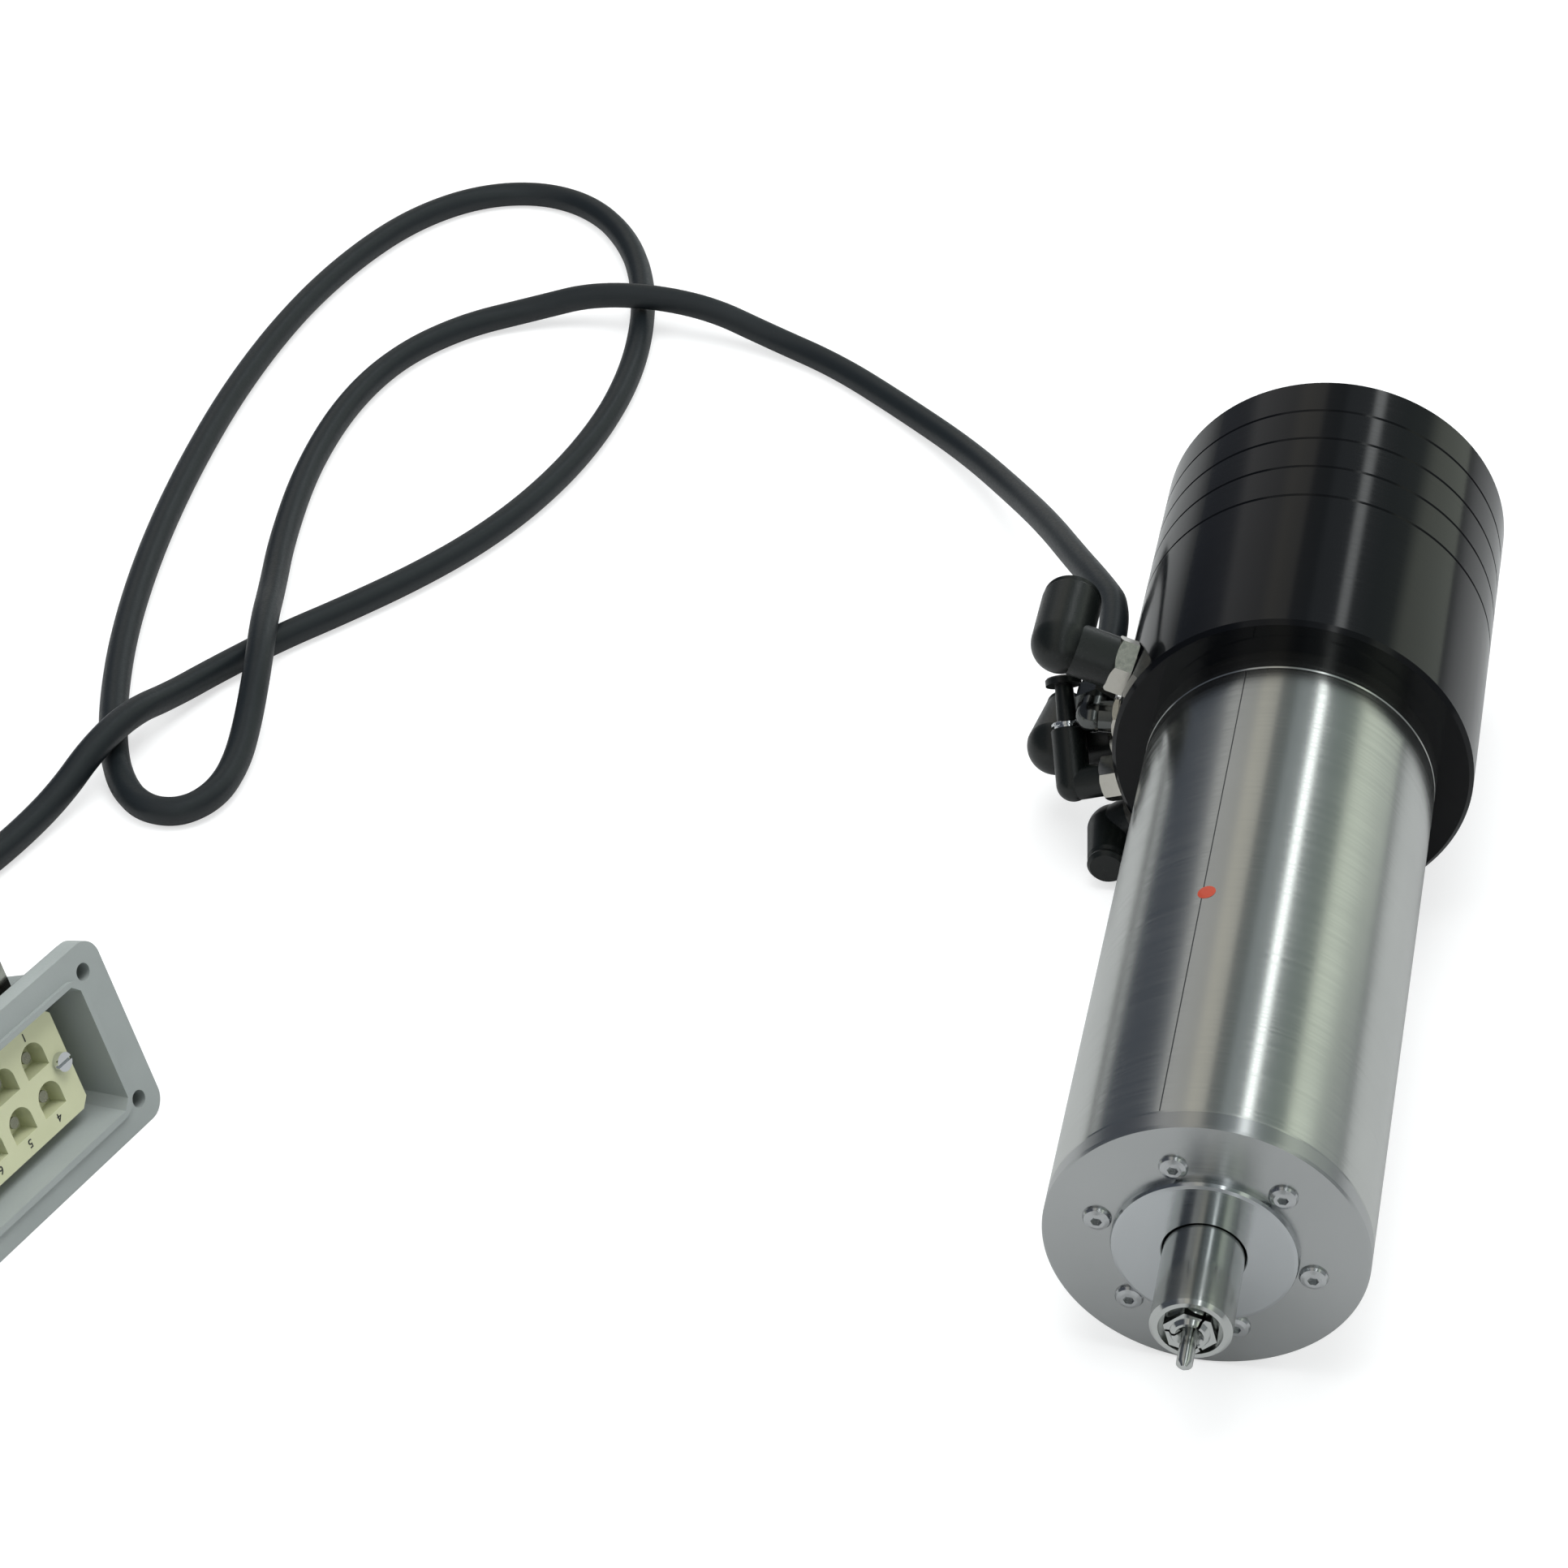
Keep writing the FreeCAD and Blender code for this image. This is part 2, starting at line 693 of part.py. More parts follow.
# Jacket tube
turned_part(
    "jacket",
    [
        ("jacket_bore", "cap_thickness"),
        ("jacket_radius - joint_chamfer", "cap_thickness"),
        ("jacket_radius", "cap_thickness + joint_chamfer"),
        ("jacket_radius", "shoulder_station - collar_thickness - joint_chamfer"),
        ("jacket_radius - joint_chamfer", "shoulder_station - collar_thickness"),
        ("jacket_bore", "shoulder_station - collar_thickness"),
    ],
    LYING,
)

# Cooling sleeve with its ring channels, and the seal rings at its ends
sleeve = turned_part(
    "cooling_sleeve",
    rectangle("stator_radius + seat_gap", "jacket_bore - seat_gap", "sleeve_start", "sleeve_end"),
    LYING,
)
channel = revolve(
    sleeve,
    "channel",
    rectangle(
        "jacket_bore - channel_depth", "jacket_bore + 1", "channel_start", "channel_start + channel_width"
    ),
    cut=True,
)
along(sleeve, "channels", [channel], "channel_count", "channel_pitch * (channel_count - 1)")
SEAL_STATIONS = ("sleeve_start + seal_inset", "sleeve_end - seal_inset")
for number_of_seal, station in enumerate(SEAL_STATIONS, start=1):
    revolve(
        sleeve,
        f"seal_groove_{number_of_seal}",
        rectangle(
            "jacket_bore - seal_radius * 2 - seat_gap * 3",
            "jacket_bore + 1",
            f"{station} - seal_radius * 1.3",
            f"{station} + seal_radius * 1.3",
        ),
        cut=True,
    )


def ring_solid(centre_radius, station, radius):
    """A seal ring of square section about the spindle's axis."""
    inner, outer = number(centre_radius) - number(radius), number(centre_radius) + number(radius)
    corner = Vector(0, 0, number(station) - number(radius))
    ring = Part.makeCylinder(outer, 2 * number(radius), corner)
    return ring.cut(Part.makeCylinder(inner, 2 * number(radius), corner))


new_feature(
    "sleeve_seals",
    Part.makeCompound(
        [ring_solid("jacket_bore - seal_radius - seat_gap * 1.5", station, "seal_radius") for station in SEAL_STATIONS]
    ),
    LYING,
)


def bearing(prefix, start, bore, outer, circle, rows):
    """One bearing or a pair: outer rings, inner rings and between them, in each row, a plain cage ring."""
    outer_rings = new_body(f"{prefix}_outer_rings", LYING)
    inner_rings = new_body(f"{prefix}_inner_rings", LYING)
    cages = new_body(f"{prefix}_cages", LYING)
    for row in range(rows):
        low = f"{start} + bearing_width * {row}"
        high = f"{start} + bearing_width * {row + 1}"
        revolve(outer_rings, f"outer_ring_{row}", rectangle(f"{circle} + race_land", outer, low, high))
        revolve(
            inner_rings,
            f"inner_ring_{row}",
            rectangle(f"{bore} + seat_gap", f"{circle} - race_land", low, high),
        )
        revolve(
            cages,
            f"cage_{row}",
            rectangle(
                f"{circle} - race_land + cage_gap",
                f"{circle} + race_land - cage_gap",
                f"{low} + cage_inset",
                f"{high} - cage_inset",
            ),
        )


bearing("front_bearing", "bearing_start", "bearing_bore_radius", "bearing_outer_radius", "ball_circle_radius", 2)
bearing("rear_bearing", "rear_bearing_start", "rear_seat_radius", "rear_bearing_outer", "rear_ball_circle", 1)

# Threaded rings that hold the bearings' outer rings in their housings
FRONT_RETAINER = "bearing_start + bearing_width * 2"
REAR_RETAINER = "rear_bearing_start + bearing_width"
retainers = new_body("bearing_retainers", LYING)
revolve(
    retainers,
    "front_retainer",
    rectangle("ball_circle_radius + 1", "bearing_outer_radius", FRONT_RETAINER, f"{FRONT_RETAINER} + retainer_width"),
)
revolve(
    retainers,
    "rear_retainer",
    rectangle("rear_ball_circle + 1.5", "rear_bearing_outer", REAR_RETAINER, f"{REAR_RETAINER} + retainer_width"),
)

# Stator core with its slots, and the winding that fills them
core = turned_part(
    "stator_core",
    rectangle("stator_bore", "stator_radius", "stack_start", "stack_start + stack_length"),
    LYING,
)
slot = plane_sketch(core, "slot_outline", "XY_Plane", shift=("0", "0", "stack_start - 1"))
draw(
    slot,
    [
        ("stator_bore - 1", "-slot_opening / 2"),
        ("stator_bore + tooth_tip", "-slot_opening / 2"),
        ("stator_bore + tooth_tip", "-slot_width / 2"),
        ("slot_bottom", "-slot_width / 2"),
        ("slot_bottom", "slot_width / 2"),
        ("stator_bore + tooth_tip", "slot_width / 2"),
        ("stator_bore + tooth_tip", "slot_opening / 2"),
        ("stator_bore - 1", "slot_opening / 2"),
    ],
)
around(core, "slots", [extrude(core, "slot", slot, "stack_length + 2", cut=True)], "slot_count")

winding = new_body("stator_winding", LYING)
for name, low in (("front_overhang", "stack_start - winding_overhang"), ("rear_overhang", "stack_start + stack_length")):
    revolve(
        winding,
        name,
        [
            ("winding_inner + 1.5", low),
            ("winding_outer - 1.5", low),
            ("winding_outer", f"{low} + 1.5"),
            ("winding_outer", f"{low} + winding_overhang - 1.5"),
            ("winding_outer - 1.5", f"{low} + winding_overhang"),
            ("winding_inner + 1.5", f"{low} + winding_overhang"),
            ("winding_inner", f"{low} + winding_overhang - 1.5"),
            ("winding_inner", f"{low} + 1.5"),
        ],
    )
bar = plane_sketch(winding, "bar_outline", "XY_Plane", shift=("0", "0", "stack_start - 1"))
draw_circle(bar, "bar_radius", "(stator_bore + tooth_tip + slot_bottom) / 2")
around(winding, "bars", [extrude(winding, "bar", bar, "stack_length + 2")], "slot_count")

# Shaft, hollow from end to end
turned_part(
    "shaft",
    [
        ("nose_recess_radius", "-nose_reach"),
        ("nose_radius - nose_chamfer", "-nose_reach"),
        ("nose_radius", "nose_chamfer - nose_reach"),
        ("nose_radius", "bearing_start - flinger_width"),
        ("flinger_radius", "bearing_start - flinger_width"),
        ("flinger_radius", "bearing_start"),
        ("shaft_radius", "bearing_start"),
        ("shaft_radius", "front_housing_end"),
        ("rotor_seat_radius", "front_housing_end"),
        ("rotor_seat_radius", "rear_bearing_start - 12"),
        ("rear_seat_radius + 1.5", "rear_bearing_start - 12"),
        ("rear_seat_radius + 1.5", "rear_bearing_start"),
        ("rear_seat_radius", "rear_bearing_start"),
        ("rear_seat_radius", "shaft_tail_start"),
        ("shaft_tail_radius", "shaft_tail_start"),
        ("shaft_tail_radius", "shaft_end"),
        ("spring_bore", "shaft_end"),
        ("spring_bore", "spring_chamber_start"),
        ("bar_bore", "spring_chamber_start"),
        ("bar_bore", "nose_recess_depth + cone_length - nose_reach"),
        ("cone_mouth_radius", "nose_recess_depth - nose_reach"),
        ("nose_recess_radius", "nose_recess_depth - nose_reach"),
    ],
    LYING,
)
turned_part(
    "rotor_core",
    rectangle("rotor_seat_radius + seat_gap", "rotor_radius", "stack_start", "stack_start + stack_length"),
    LYING,
)


def ring_nut(label, bore, radius, start, width):
    """A round shaft nut with four spanner slots."""
    body = turned_part(label, rectangle(f"{bore} + seat_gap", radius, start, f"{start} + {width}"), LYING)
    slot = plane_sketch(body, "spanner_slot_outline", "XY_Plane", shift=("0", "0", start))
    draw(slot, rectangle(f"{radius} - 1.2", f"{radius} + 1", "-1.5", "1.5"))
    around(body, "spanner_slots", [extrude(body, "spanner_slot", slot, width, cut=True)], "4")


ring_nut("front_shaft_nut", "shaft_radius", "ball_circle_radius - 0.6", FRONT_RETAINER, "retainer_width")
ring_nut("rear_shaft_nut", "rear_seat_radius", "rear_ball_circle - 1", REAR_RETAINER, "retainer_width")

encoder = turned_part(
    "encoder_wheel",
    rectangle("shaft_tail_radius + seat_gap", "encoder_radius", "encoder_start", "encoder_start + encoder_width"),
    LYING,
)
gap = plane_sketch(encoder, "tooth_gap_outline", "XY_Plane", shift=("0", "0", "encoder_start"))
draw(gap, rectangle("encoder_radius - encoder_tooth_depth", "encoder_radius + 1", "-1", "1"))
around(encoder, "tooth_gaps", [extrude(encoder, "tooth_gap", gap, "encoder_width", cut=True)], "encoder_teeth")

# Collet: a hexagonal collar, a cone in the shaft's cone and a slit shank, on the drawbar
CONE_START = "nose_recess_depth - nose_reach"
collet = turned_part(
    "collet",
    [
        ("shank_radius + running_gap", "shank_root * -1 + 2"),
        ("shank_radius + running_gap", "collet_mouth_depth - nose_reach - collet_stand"),
        ("collet_mouth_radius", "-nose_reach - collet_stand"),
        ("collet_ring_radius", "-nose_reach - collet_stand"),
        ("collet_ring_radius + 0.3", "0.4 - nose_reach - collet_stand"),
        ("cone_mouth_radius - running_gap", "collet_mouth_depth - nose_reach"),
        ("cone_mouth_radius - running_gap", CONE_START),
        ("bar_bore - running_gap", f"{CONE_START} + cone_length"),
        ("bar_bore - running_gap", "collet_tail_end"),
        ("drawbar_thread_radius + seat_gap", "collet_tail_end"),
        ("drawbar_thread_radius + seat_gap", "shank_root * -1 + 2"),
    ],
    LYING,
)
collar = plane_sketch(collet, "collar_outline", "XY_Plane", shift=("0", "0", "-collar_stand - nose_reach"))
draw(collar, hexagon("collet_flats", turn=15.0))
draw_circle(collar, "collet_ring_radius - 0.1")
extrude(collet, "collar", collar, "collet_collar + collar_stand - 0.5")
slit = plane_sketch(collet, "slit_outline", "XY_Plane", shift=("0", "0", "-nose_reach - collet_stand - 1"))
draw(slit, rectangle("0", "cone_mouth_radius + 3", "-slit_width / 2", "slit_width / 2"))
slit_feature = extrude(collet, "slit", slit, "nose_reach + collet_stand + 1 - slit_reach", cut=True)
around(collet, "slits", [slit_feature], "slit_count")

turned_part(
    "tool_shank",
    [
        ("0", "-shank_stickout"),
        ("shank_radius - shank_tip", "-shank_stickout"),
        ("shank_radius", "shank_tip - shank_stickout"),
        ("shank_radius", "-shank_root"),
        ("0", "-shank_root"),
    ],
    LYING,
)
turned_part(
    "drawbar",
    [
        ("0", "2 - shank_root + 0.5"),
        ("drawbar_thread_radius", "2 - shank_root + 0.5"),
        ("drawbar_thread_radius", "collet_tail_end"),
        ("drawbar_radius", "collet_tail_end"),
        ("drawbar_radius", "drawbar_head_start"),
        ("spring_bore - running_gap", "drawbar_head_start"),
        ("spring_bore - running_gap", "drawbar_head_start + drawbar_head_width"),
        ("drawbar_tail_radius", "drawbar_head_start + drawbar_head_width"),
        ("drawbar_tail_radius", "drawbar_end - 1"),
        ("drawbar_tail_radius - 1", "drawbar_end"),
        ("0", "drawbar_end"),
    ],
    LYING,
)


def disc_stack(label, start):
    """Half of the disc springs on the drawbar: coned washers, turned to and fro."""
    body = new_body(label, LYING)
    pitch = "(disc_thickness + disc_cone + disc_gap)"
    for turn in range(2):
        low = f"{start} + {pitch} * {turn}"
        inner, outer = ("0", "disc_cone") if turn else ("disc_cone", "0")
        disc = revolve(
            body,
            f"disc_{turn}",
            [
                ("disc_bore", f"{low} + {inner}"),
                ("spring_bore - 0.15", f"{low} + {outer}"),
                ("spring_bore - 0.15", f"{low} + {outer} + disc_thickness"),
                ("disc_bore", f"{low} + {inner} + disc_thickness"),
            ],
        )
        along(body, f"discs_{turn}", [disc], "disc_count / 2", f"{pitch} * (disc_count - 2)")
    return body


disc_stack("front_disc_springs", "spring_chamber_start + disc_travel_gap")
disc_stack("rear_disc_springs", "spring_chamber_start + disc_travel_gap * 2 + disc_stack_length")

# Rear bearing holder, with the bright collar that shows between the jacket and the black head
turned_part(
    "rear_bearing_holder",
    [
        ("rear_seat_radius + 3.5", "rear_holder_start"),
        ("jacket_bore - seat_gap", "rear_holder_start"),
        ("jacket_bore - seat_gap", "shoulder_station - collar_thickness"),
        ("jacket_radius - joint_chamfer", "shoulder_station - collar_thickness"),
        ("jacket_radius", "shoulder_station - collar_thickness + joint_chamfer"),
        ("jacket_radius", "shoulder_station"),
        ("rear_bearing_outer + seat_gap", "shoulder_station"),
        ("rear_bearing_outer + seat_gap", "rear_bearing_start"),
        ("rear_bearing_outer - 3", "rear_bearing_start"),
        ("rear_bearing_outer - 3", "rear_bearing_start - 3"),
        ("rear_seat_radius + 3.5", "rear_bearing_start - 3"),
    ],
    LYING,
)

# Black head: the cylinder housing with its ports, three stage rings and the rear cover, held by long screws
housing = turned_part(
    "cylinder_housing",
    [
        ("head_wall_bore", "shoulder_station"),
        ("head_radius - shoulder_chamfer", "shoulder_station"),
        ("head_radius", "shoulder_station + shoulder_chamfer"),
        ("head_radius", "cylinder_housing_end - head_chamfer"),
        ("head_radius - head_chamfer", "cylinder_housing_end"),
        ("head_cavity_radius", "cylinder_housing_end"),
        ("head_cavity_radius", "head_wall_end"),
        ("head_wall_bore", "head_wall_end"),
    ],
    LYING,
)
PORTS = {
    "upper_coolant": ("upper_coolant_angle", "upper_coolant_station"),
    "lower_coolant": ("lower_coolant_angle", "lower_coolant_station"),
    "air": ("air_angle", "air_station"),
    "cable": ("cable_angle", "cable_station"),
    "drain": ("drain_angle", "drain_station"),
}
for name, (angle, station) in PORTS.items():
    revolve(
        housing,
        f"{name}_port",
        [
            ("head_radius - port_depth", "0"),
            ("head_radius + 2", "0"),
            ("head_radius + 2", "port_radius"),
            ("head_radius - port_depth", "port_radius"),
        ],
        cut=True,
        axis="H_Axis",
        turn=angle,
        shift=("0", station, "0"),
    )
hole = plane_sketch(housing, "tie_thread_outline", "XY_Plane", shift=("0", "0", "tie_root"))
draw_circle(hole, "tie_radius + seat_gap", "tie_circle_radius")
tie_thread = extrude(housing, "tie_thread", hole, "cylinder_housing_end - tie_root + 1", cut=True)
around(housing, "tie_threads", [tie_thread], "tie_count")

STAGES = int(number("stage_count"))
for stage in range(STAGES):
    low = f"cylinder_housing_end + stage_length * {stage}"
    high = f"cylinder_housing_end + stage_length * {stage + 1}"
    ring = turned_part(
        f"stage_ring_{stage + 1}",
        [
            ("rod_radius + running_gap", low),
            ("head_radius - head_chamfer", low),
            ("head_radius", f"{low} + head_chamfer"),
            ("head_radius", f"{high} - head_chamfer"),
            ("head_radius - head_chamfer", high),
            ("stage_bore", high),
            ("stage_bore", f"{low} + web_thickness"),
            ("rod_radius + running_gap", f"{low} + web_thickness"),
        ],
        LYING,
    )
    hole = plane_sketch(ring, "tie_hole_outline", "XY_Plane", shift=("0", "0", low))
    draw_circle(hole, "tie_radius + 0.15", "tie_circle_radius")
    around(ring, "tie_holes", [extrude(ring, "tie_hole", hole, "stage_length", cut=True)], "tie_count")

COVER_START = "cylinder_housing_end + stage_length * stage_count"
COVER_END = f"{COVER_START} + cover_thickness"
cover = turned_part(
    "rear_cover",
    [
        ("0", f"{COVER_START} + cover_recess_depth"),
        ("cover_recess_radius", f"{COVER_START} + cover_recess_depth"),
        ("cover_recess_radius", COVER_START),
        ("head_radius - head_chamfer", COVER_START),
        ("head_radius", f"{COVER_START} + head_chamfer"),
        ("head_radius", f"{COVER_END} - shoulder_chamfer"),
        ("head_radius - shoulder_chamfer", COVER_END),
        ("0", COVER_END),
    ],
    LYING,
)
hole = plane_sketch(cover, "tie_hole_outline", "XY_Plane", shift=("0", "0", COVER_START))
draw_circle(hole, "tie_radius + 0.15", "tie_circle_radius")
tie_hole = extrude(cover, "tie_hole", hole, "cover_thickness", cut=True)
around(cover, "tie_holes", [tie_hole], "tie_count")
sink = plane_sketch(cover, "tie_sink_outline", "XY_Plane", shift=("0", "0", f"{COVER_END} - tie_head_depth"))
draw_circle(sink, "tie_head_radius + 0.2", "tie_circle_radius")
tie_sink = extrude(cover, "tie_sink", sink, "tie_head_depth", cut=True)
around(cover, "tie_sinks", [tie_sink], "tie_count")

TIE_SEAT = f"{COVER_END} - tie_head_depth"
screw_set(
    "tie_screws",
    "tie_circle_radius",
    "0",
    [
        ("0", "tie_root + 1"),
        ("tie_radius", "tie_root + 1"),
        ("tie_radius", TIE_SEAT),
        ("tie_head_radius", TIE_SEAT),
        ("tie_head_radius", f"{TIE_SEAT} + tie_radius * 2 - 0.3"),
        ("tie_head_radius - 0.3", f"{TIE_SEAT} + tie_radius * 2"),
        ("0", f"{TIE_SEAT} + tie_radius * 2"),
    ],
    "tie_socket_flats",
    f"{TIE_SEAT} + tie_radius",
    "tie_radius",
    "tie_count",
)

# Pistons on their rod, one in each stage
for stage in range(STAGES):
    high = f"cylinder_housing_end + stage_length * {stage + 1} - piston_rest_gap"
    piston = turned_part(
        f"piston_{stage + 1}",
        rectangle(
            "rod_radius + seat_gap", "stage_bore - piston_clearance", f"{high} - piston_thickness", high
        ),
        LYING,
    )
    revolve(
        piston,
        "seal_groove",
        rectangle(
            "stage_bore - piston_clearance - piston_seal_radius * 2",
            "stage_bore + 1",
            f"{high} - piston_thickness / 2 - piston_seal_radius * 1.2",
            f"{high} - piston_thickness / 2 + piston_seal_radius * 1.2",
        ),
        cut=True,
    )
new_feature(
    "piston_seals",
    Part.makeCompound(
        [
            ring_solid(
                "stage_bore - piston_clearance - piston_seal_radius",
                f"cylinder_housing_end + stage_length * {stage + 1} - piston_rest_gap - piston_thickness / 2",
                "piston_seal_radius",
            )
            for stage in range(STAGES)
        ]
    ),
    LYING,
)
turned_part(
    "push_rod",
    [
        ("0", "drawbar_end + rod_gap"),
        ("rod_radius - rod_nose_chamfer", "drawbar_end + rod_gap"),
        ("rod_radius", "drawbar_end + rod_gap + rod_nose_chamfer"),
        ("rod_radius", f"{COVER_START} + cover_recess_depth - 1.5"),
        ("rod_radius - 1", f"{COVER_START} + cover_recess_depth - 0.5"),
        ("0", f"{COVER_START} + cover_recess_depth - 0.5"),
    ],
    LYING,
)

# Speed sensor behind the encoder wheel, on a plate screwed to the head's front wall
sensor = new_body("speed_sensor", LYING)
SENSOR_TIP = "encoder_start + encoder_width + sensor_gap"
revolve(
    sensor,
    "sensor_barrel",
    rectangle("0", "sensor_radius", SENSOR_TIP, f"{SENSOR_TIP} + sensor_length"),
    shift=("0", "0", "-sensor_circle"),
)
plate = plane_sketch(sensor, "plate_outline", "XY_Plane", shift=("0", "0", "head_wall_end"))
draw(plate, rectangle("-sensor_plate_width / 2", "sensor_plate_width / 2", "sensor_circle - 3.6", "head_wall_bore + 8"))
extrude(sensor, "plate", plate, "sensor_plate")


def hex_nut(label, place, flats, thickness, bore, spigot):
    """A fitting's hexagon on the head, bevelled at its outer end, with its threaded spigot in the port."""
    body = new_body(label, place)
    outline = plane_sketch(body, "hexagon_outline", "XY_Plane")
    draw(outline, hexagon(flats, turn=30.0))
    extrude(body, "hexagon", outline, thickness)
    revolve(
        body,
        "bevel",
        [
            (f"{flats} / 2 + 0.1", thickness),
            (f"{flats}", thickness),
            (f"{flats}", f"{thickness} - nut_chamfer - {flats} * 0.25"),
        ],
        cut=True,
    )
    revolve(body, "spigot", rectangle("0", spigot, "-spigot_length", "0.5"))
    revolve(body, "bore", rectangle("0", bore, "-spigot_length - 1", f"{thickness} + 1"), cut=True)
    return body


def elbow(label, place, stem, stem_start, reach, radius, length, tip):
    """A moulded elbow: a slim stem out of the nut, a round corner and a fatter leg along X."""
    body = new_body(label, place)
    revolve(body, "stem", rectangle("0", stem, stem_start, reach))
    revolve(
        body,
        "leg",
        [
            (f"-({radius})", "0", radius, -1),
            ("0", radius),
            (f"{length} - elbow_rim * 3", tip),
            (f"{length} - elbow_rim * 2", f"{tip} - elbow_rim * 0.4"),
            (f"{length} - elbow_rim", f"{tip} - elbow_rim * 0.2"),
            (length, f"{tip} - elbow_rim"),
            (length, "0"),
        ],
        axis="H_Axis",
        shift=("0", reach, "0"),
    )
    return body


UPPER_PLACE = port_place("upper_coolant_angle", "upper_coolant_station")
LOWER_PLACE = port_place("lower_coolant_angle", "lower_coolant_station")
DRAIN_PLACE = port_place("drain_angle", "drain_station", "180")
AIR_PLACE = port_place("air_angle", "air_station", "air_roll")
CABLE_PLACE = port_place("cable_angle", "cable_station")

for label, place in (
    ("upper_coolant_nut", UPPER_PLACE),
    ("lower_coolant_nut", LOWER_PLACE),
    ("drain_nut", DRAIN_PLACE),
):
    hex_nut(label, place, "nut_flats", "nut_thickness", "spigot_radius - 1.5", "spigot_radius")
elbow(
    "upper_coolant_elbow",
    UPPER_PLACE,
    "stem_radius",
    "nut_thickness",
    "elbow_reach",
    "elbow_radius",
    "elbow_length",
    "elbow_radius",
)
elbow(
    "lower_coolant_elbow",
    LOWER_PLACE,
    "stem_radius",
    "nut_thickness",
    "short_elbow_reach",
    "elbow_radius",
    "short_elbow_length",
    "short_elbow_tip_radius",
)

# The lowest elbow stands at such an angle that its leg just rests on the table and keeps the spindle from rolling
elbow(
    "drain_elbow",
    DRAIN_PLACE,
    "stem_radius",
    "nut_thickness",
    "drain_reach",
    "drain_elbow_radius",
    "drain_elbow_length",
    "short_elbow_tip_radius",
)

# Push-in air fitting: base, turning elbow, release collar and the blanking plug in its mouth
hex_nut("air_fitting_base", AIR_PLACE, "small_nut_flats", "small_nut_thickness", "spigot_radius - 1.5", "spigot_radius")
air_elbow = new_body("air_elbow", AIR_PLACE)
revolve(
    air_elbow,
    "stem",
    [
        ("0", "small_nut_thickness + running_gap"),
        ("air_stem_radius", "small_nut_thickness + running_gap"),
        ("air_stem_radius", "air_reach"),
        ("0", "air_reach"),
    ],
)
revolve(
    air_elbow,
    "barrel",
    [
        ("-air_barrel_radius", "0", "air_barrel_radius", -1),
        ("0", "air_barrel_radius"),
        ("air_barrel_length - 0.4", "air_barrel_radius"),
        ("air_barrel_length", "air_barrel_radius - 0.4"),
        ("air_barrel_length", "0"),
    ],
    axis="H_Axis",
    shift=("0", "air_reach", "0"),
)
COLLAR_BOTTOM = "air_barrel_length + collar_press_gap - collar_tube_length"
revolve(
    air_elbow,
    "mouth",
    [
        ("plug_depth - 1", "0"),
        ("air_barrel_length + 1", "0"),
        ("air_barrel_length + 1", "collar_tube_radius + running_gap"),
        (f"{COLLAR_BOTTOM} - collar_press_gap - 0.2", "collar_tube_radius + running_gap"),
        (f"{COLLAR_BOTTOM} - collar_press_gap - 0.2", "air_tube_radius + running_gap"),
        ("plug_depth - 1", "air_tube_radius + running_gap"),
    ],
    cut=True,
    axis="H_Axis",
    shift=("0", "air_reach", "0"),
)
release_collar = new_body("release_collar", AIR_PLACE)
revolve(
    release_collar,
    "collar",
    [
        (COLLAR_BOTTOM, "air_tube_radius + running_gap"),
        ("air_barrel_length + collar_press_gap + collar_flange_width", "air_tube_radius + running_gap"),
        ("air_barrel_length + collar_press_gap + collar_flange_width", "collar_flange_radius - 0.3"),
        ("air_barrel_length + collar_press_gap + collar_flange_width - 0.3", "collar_flange_radius"),
        ("air_barrel_length + collar_press_gap", "collar_flange_radius"),
        ("air_barrel_length + collar_press_gap", "collar_tube_radius"),
        (COLLAR_BOTTOM, "collar_tube_radius"),
    ],
    axis="H_Axis",
    shift=("0", "air_reach", "0"),
)
blanking_plug = new_body("blanking_plug", AIR_PLACE)
revolve(
    blanking_plug,
    "plug",
    [
        ("plug_depth", "0"),
        ("plug_depth + 0.6", "air_tube_radius - 0.6"),
        ("plug_depth + 1.2", "air_tube_radius"),
        ("air_barrel_length + collar_press_gap + collar_flange_width + 1", "air_tube_radius"),
        ("plug_reach - plug_head_width", "plug_tip_radius"),
        ("plug_reach - plug_head_width", "plug_head_radius"),
        ("plug_reach - 0.5", "plug_head_radius"),
        ("plug_reach", "plug_head_radius - 0.5"),
        ("plug_reach", "0"),
    ],
    axis="H_Axis",
    shift=("0", "air_reach", "0"),
)

# Cable gland on the head: base, angled body with its clamp nut, and the tapered strain relief
hex_nut("cable_gland_base", CABLE_PLACE, "gland_nut_flats", "gland_base_thickness", "spigot_radius - 1.5", "spigot_radius")
cable_gland = new_body("cable_gland", CABLE_PLACE)
revolve(cable_gland, "stem", rectangle("0", "gland_radius - 1", "gland_base_thickness", "gland_reach"))
revolve(
    cable_gland,
    "angle",
    [
        ("-(gland_radius - 0.6)", "0", "gland_radius - 0.6", -1),
        ("0", "gland_radius - 0.6"),
        ("gland_nut_end", "gland_radius - 0.6"),
        ("gland_nut_end", "0"),
    ],
    axis="H_Axis",
    shift=("0", "gland_reach", "0"),
)
clamp_nut = plane_sketch(cable_gland, "clamp_nut_outline", "YZ_Plane", shift=("0", "gland_reach", "gland_nut_start"))
draw(clamp_nut, hexagon("gland_nut_flats"))
extrude(cable_gland, "clamp_nut", clamp_nut, "gland_nut_end - gland_nut_start")
strain_relief = new_body("strain_relief", CABLE_PLACE)
RELIEF_STEP = "(relief_end - gland_nut_end) / 6"
relief_outline = [("gland_nut_end", "0"), ("gland_nut_end", "relief_root_radius")]
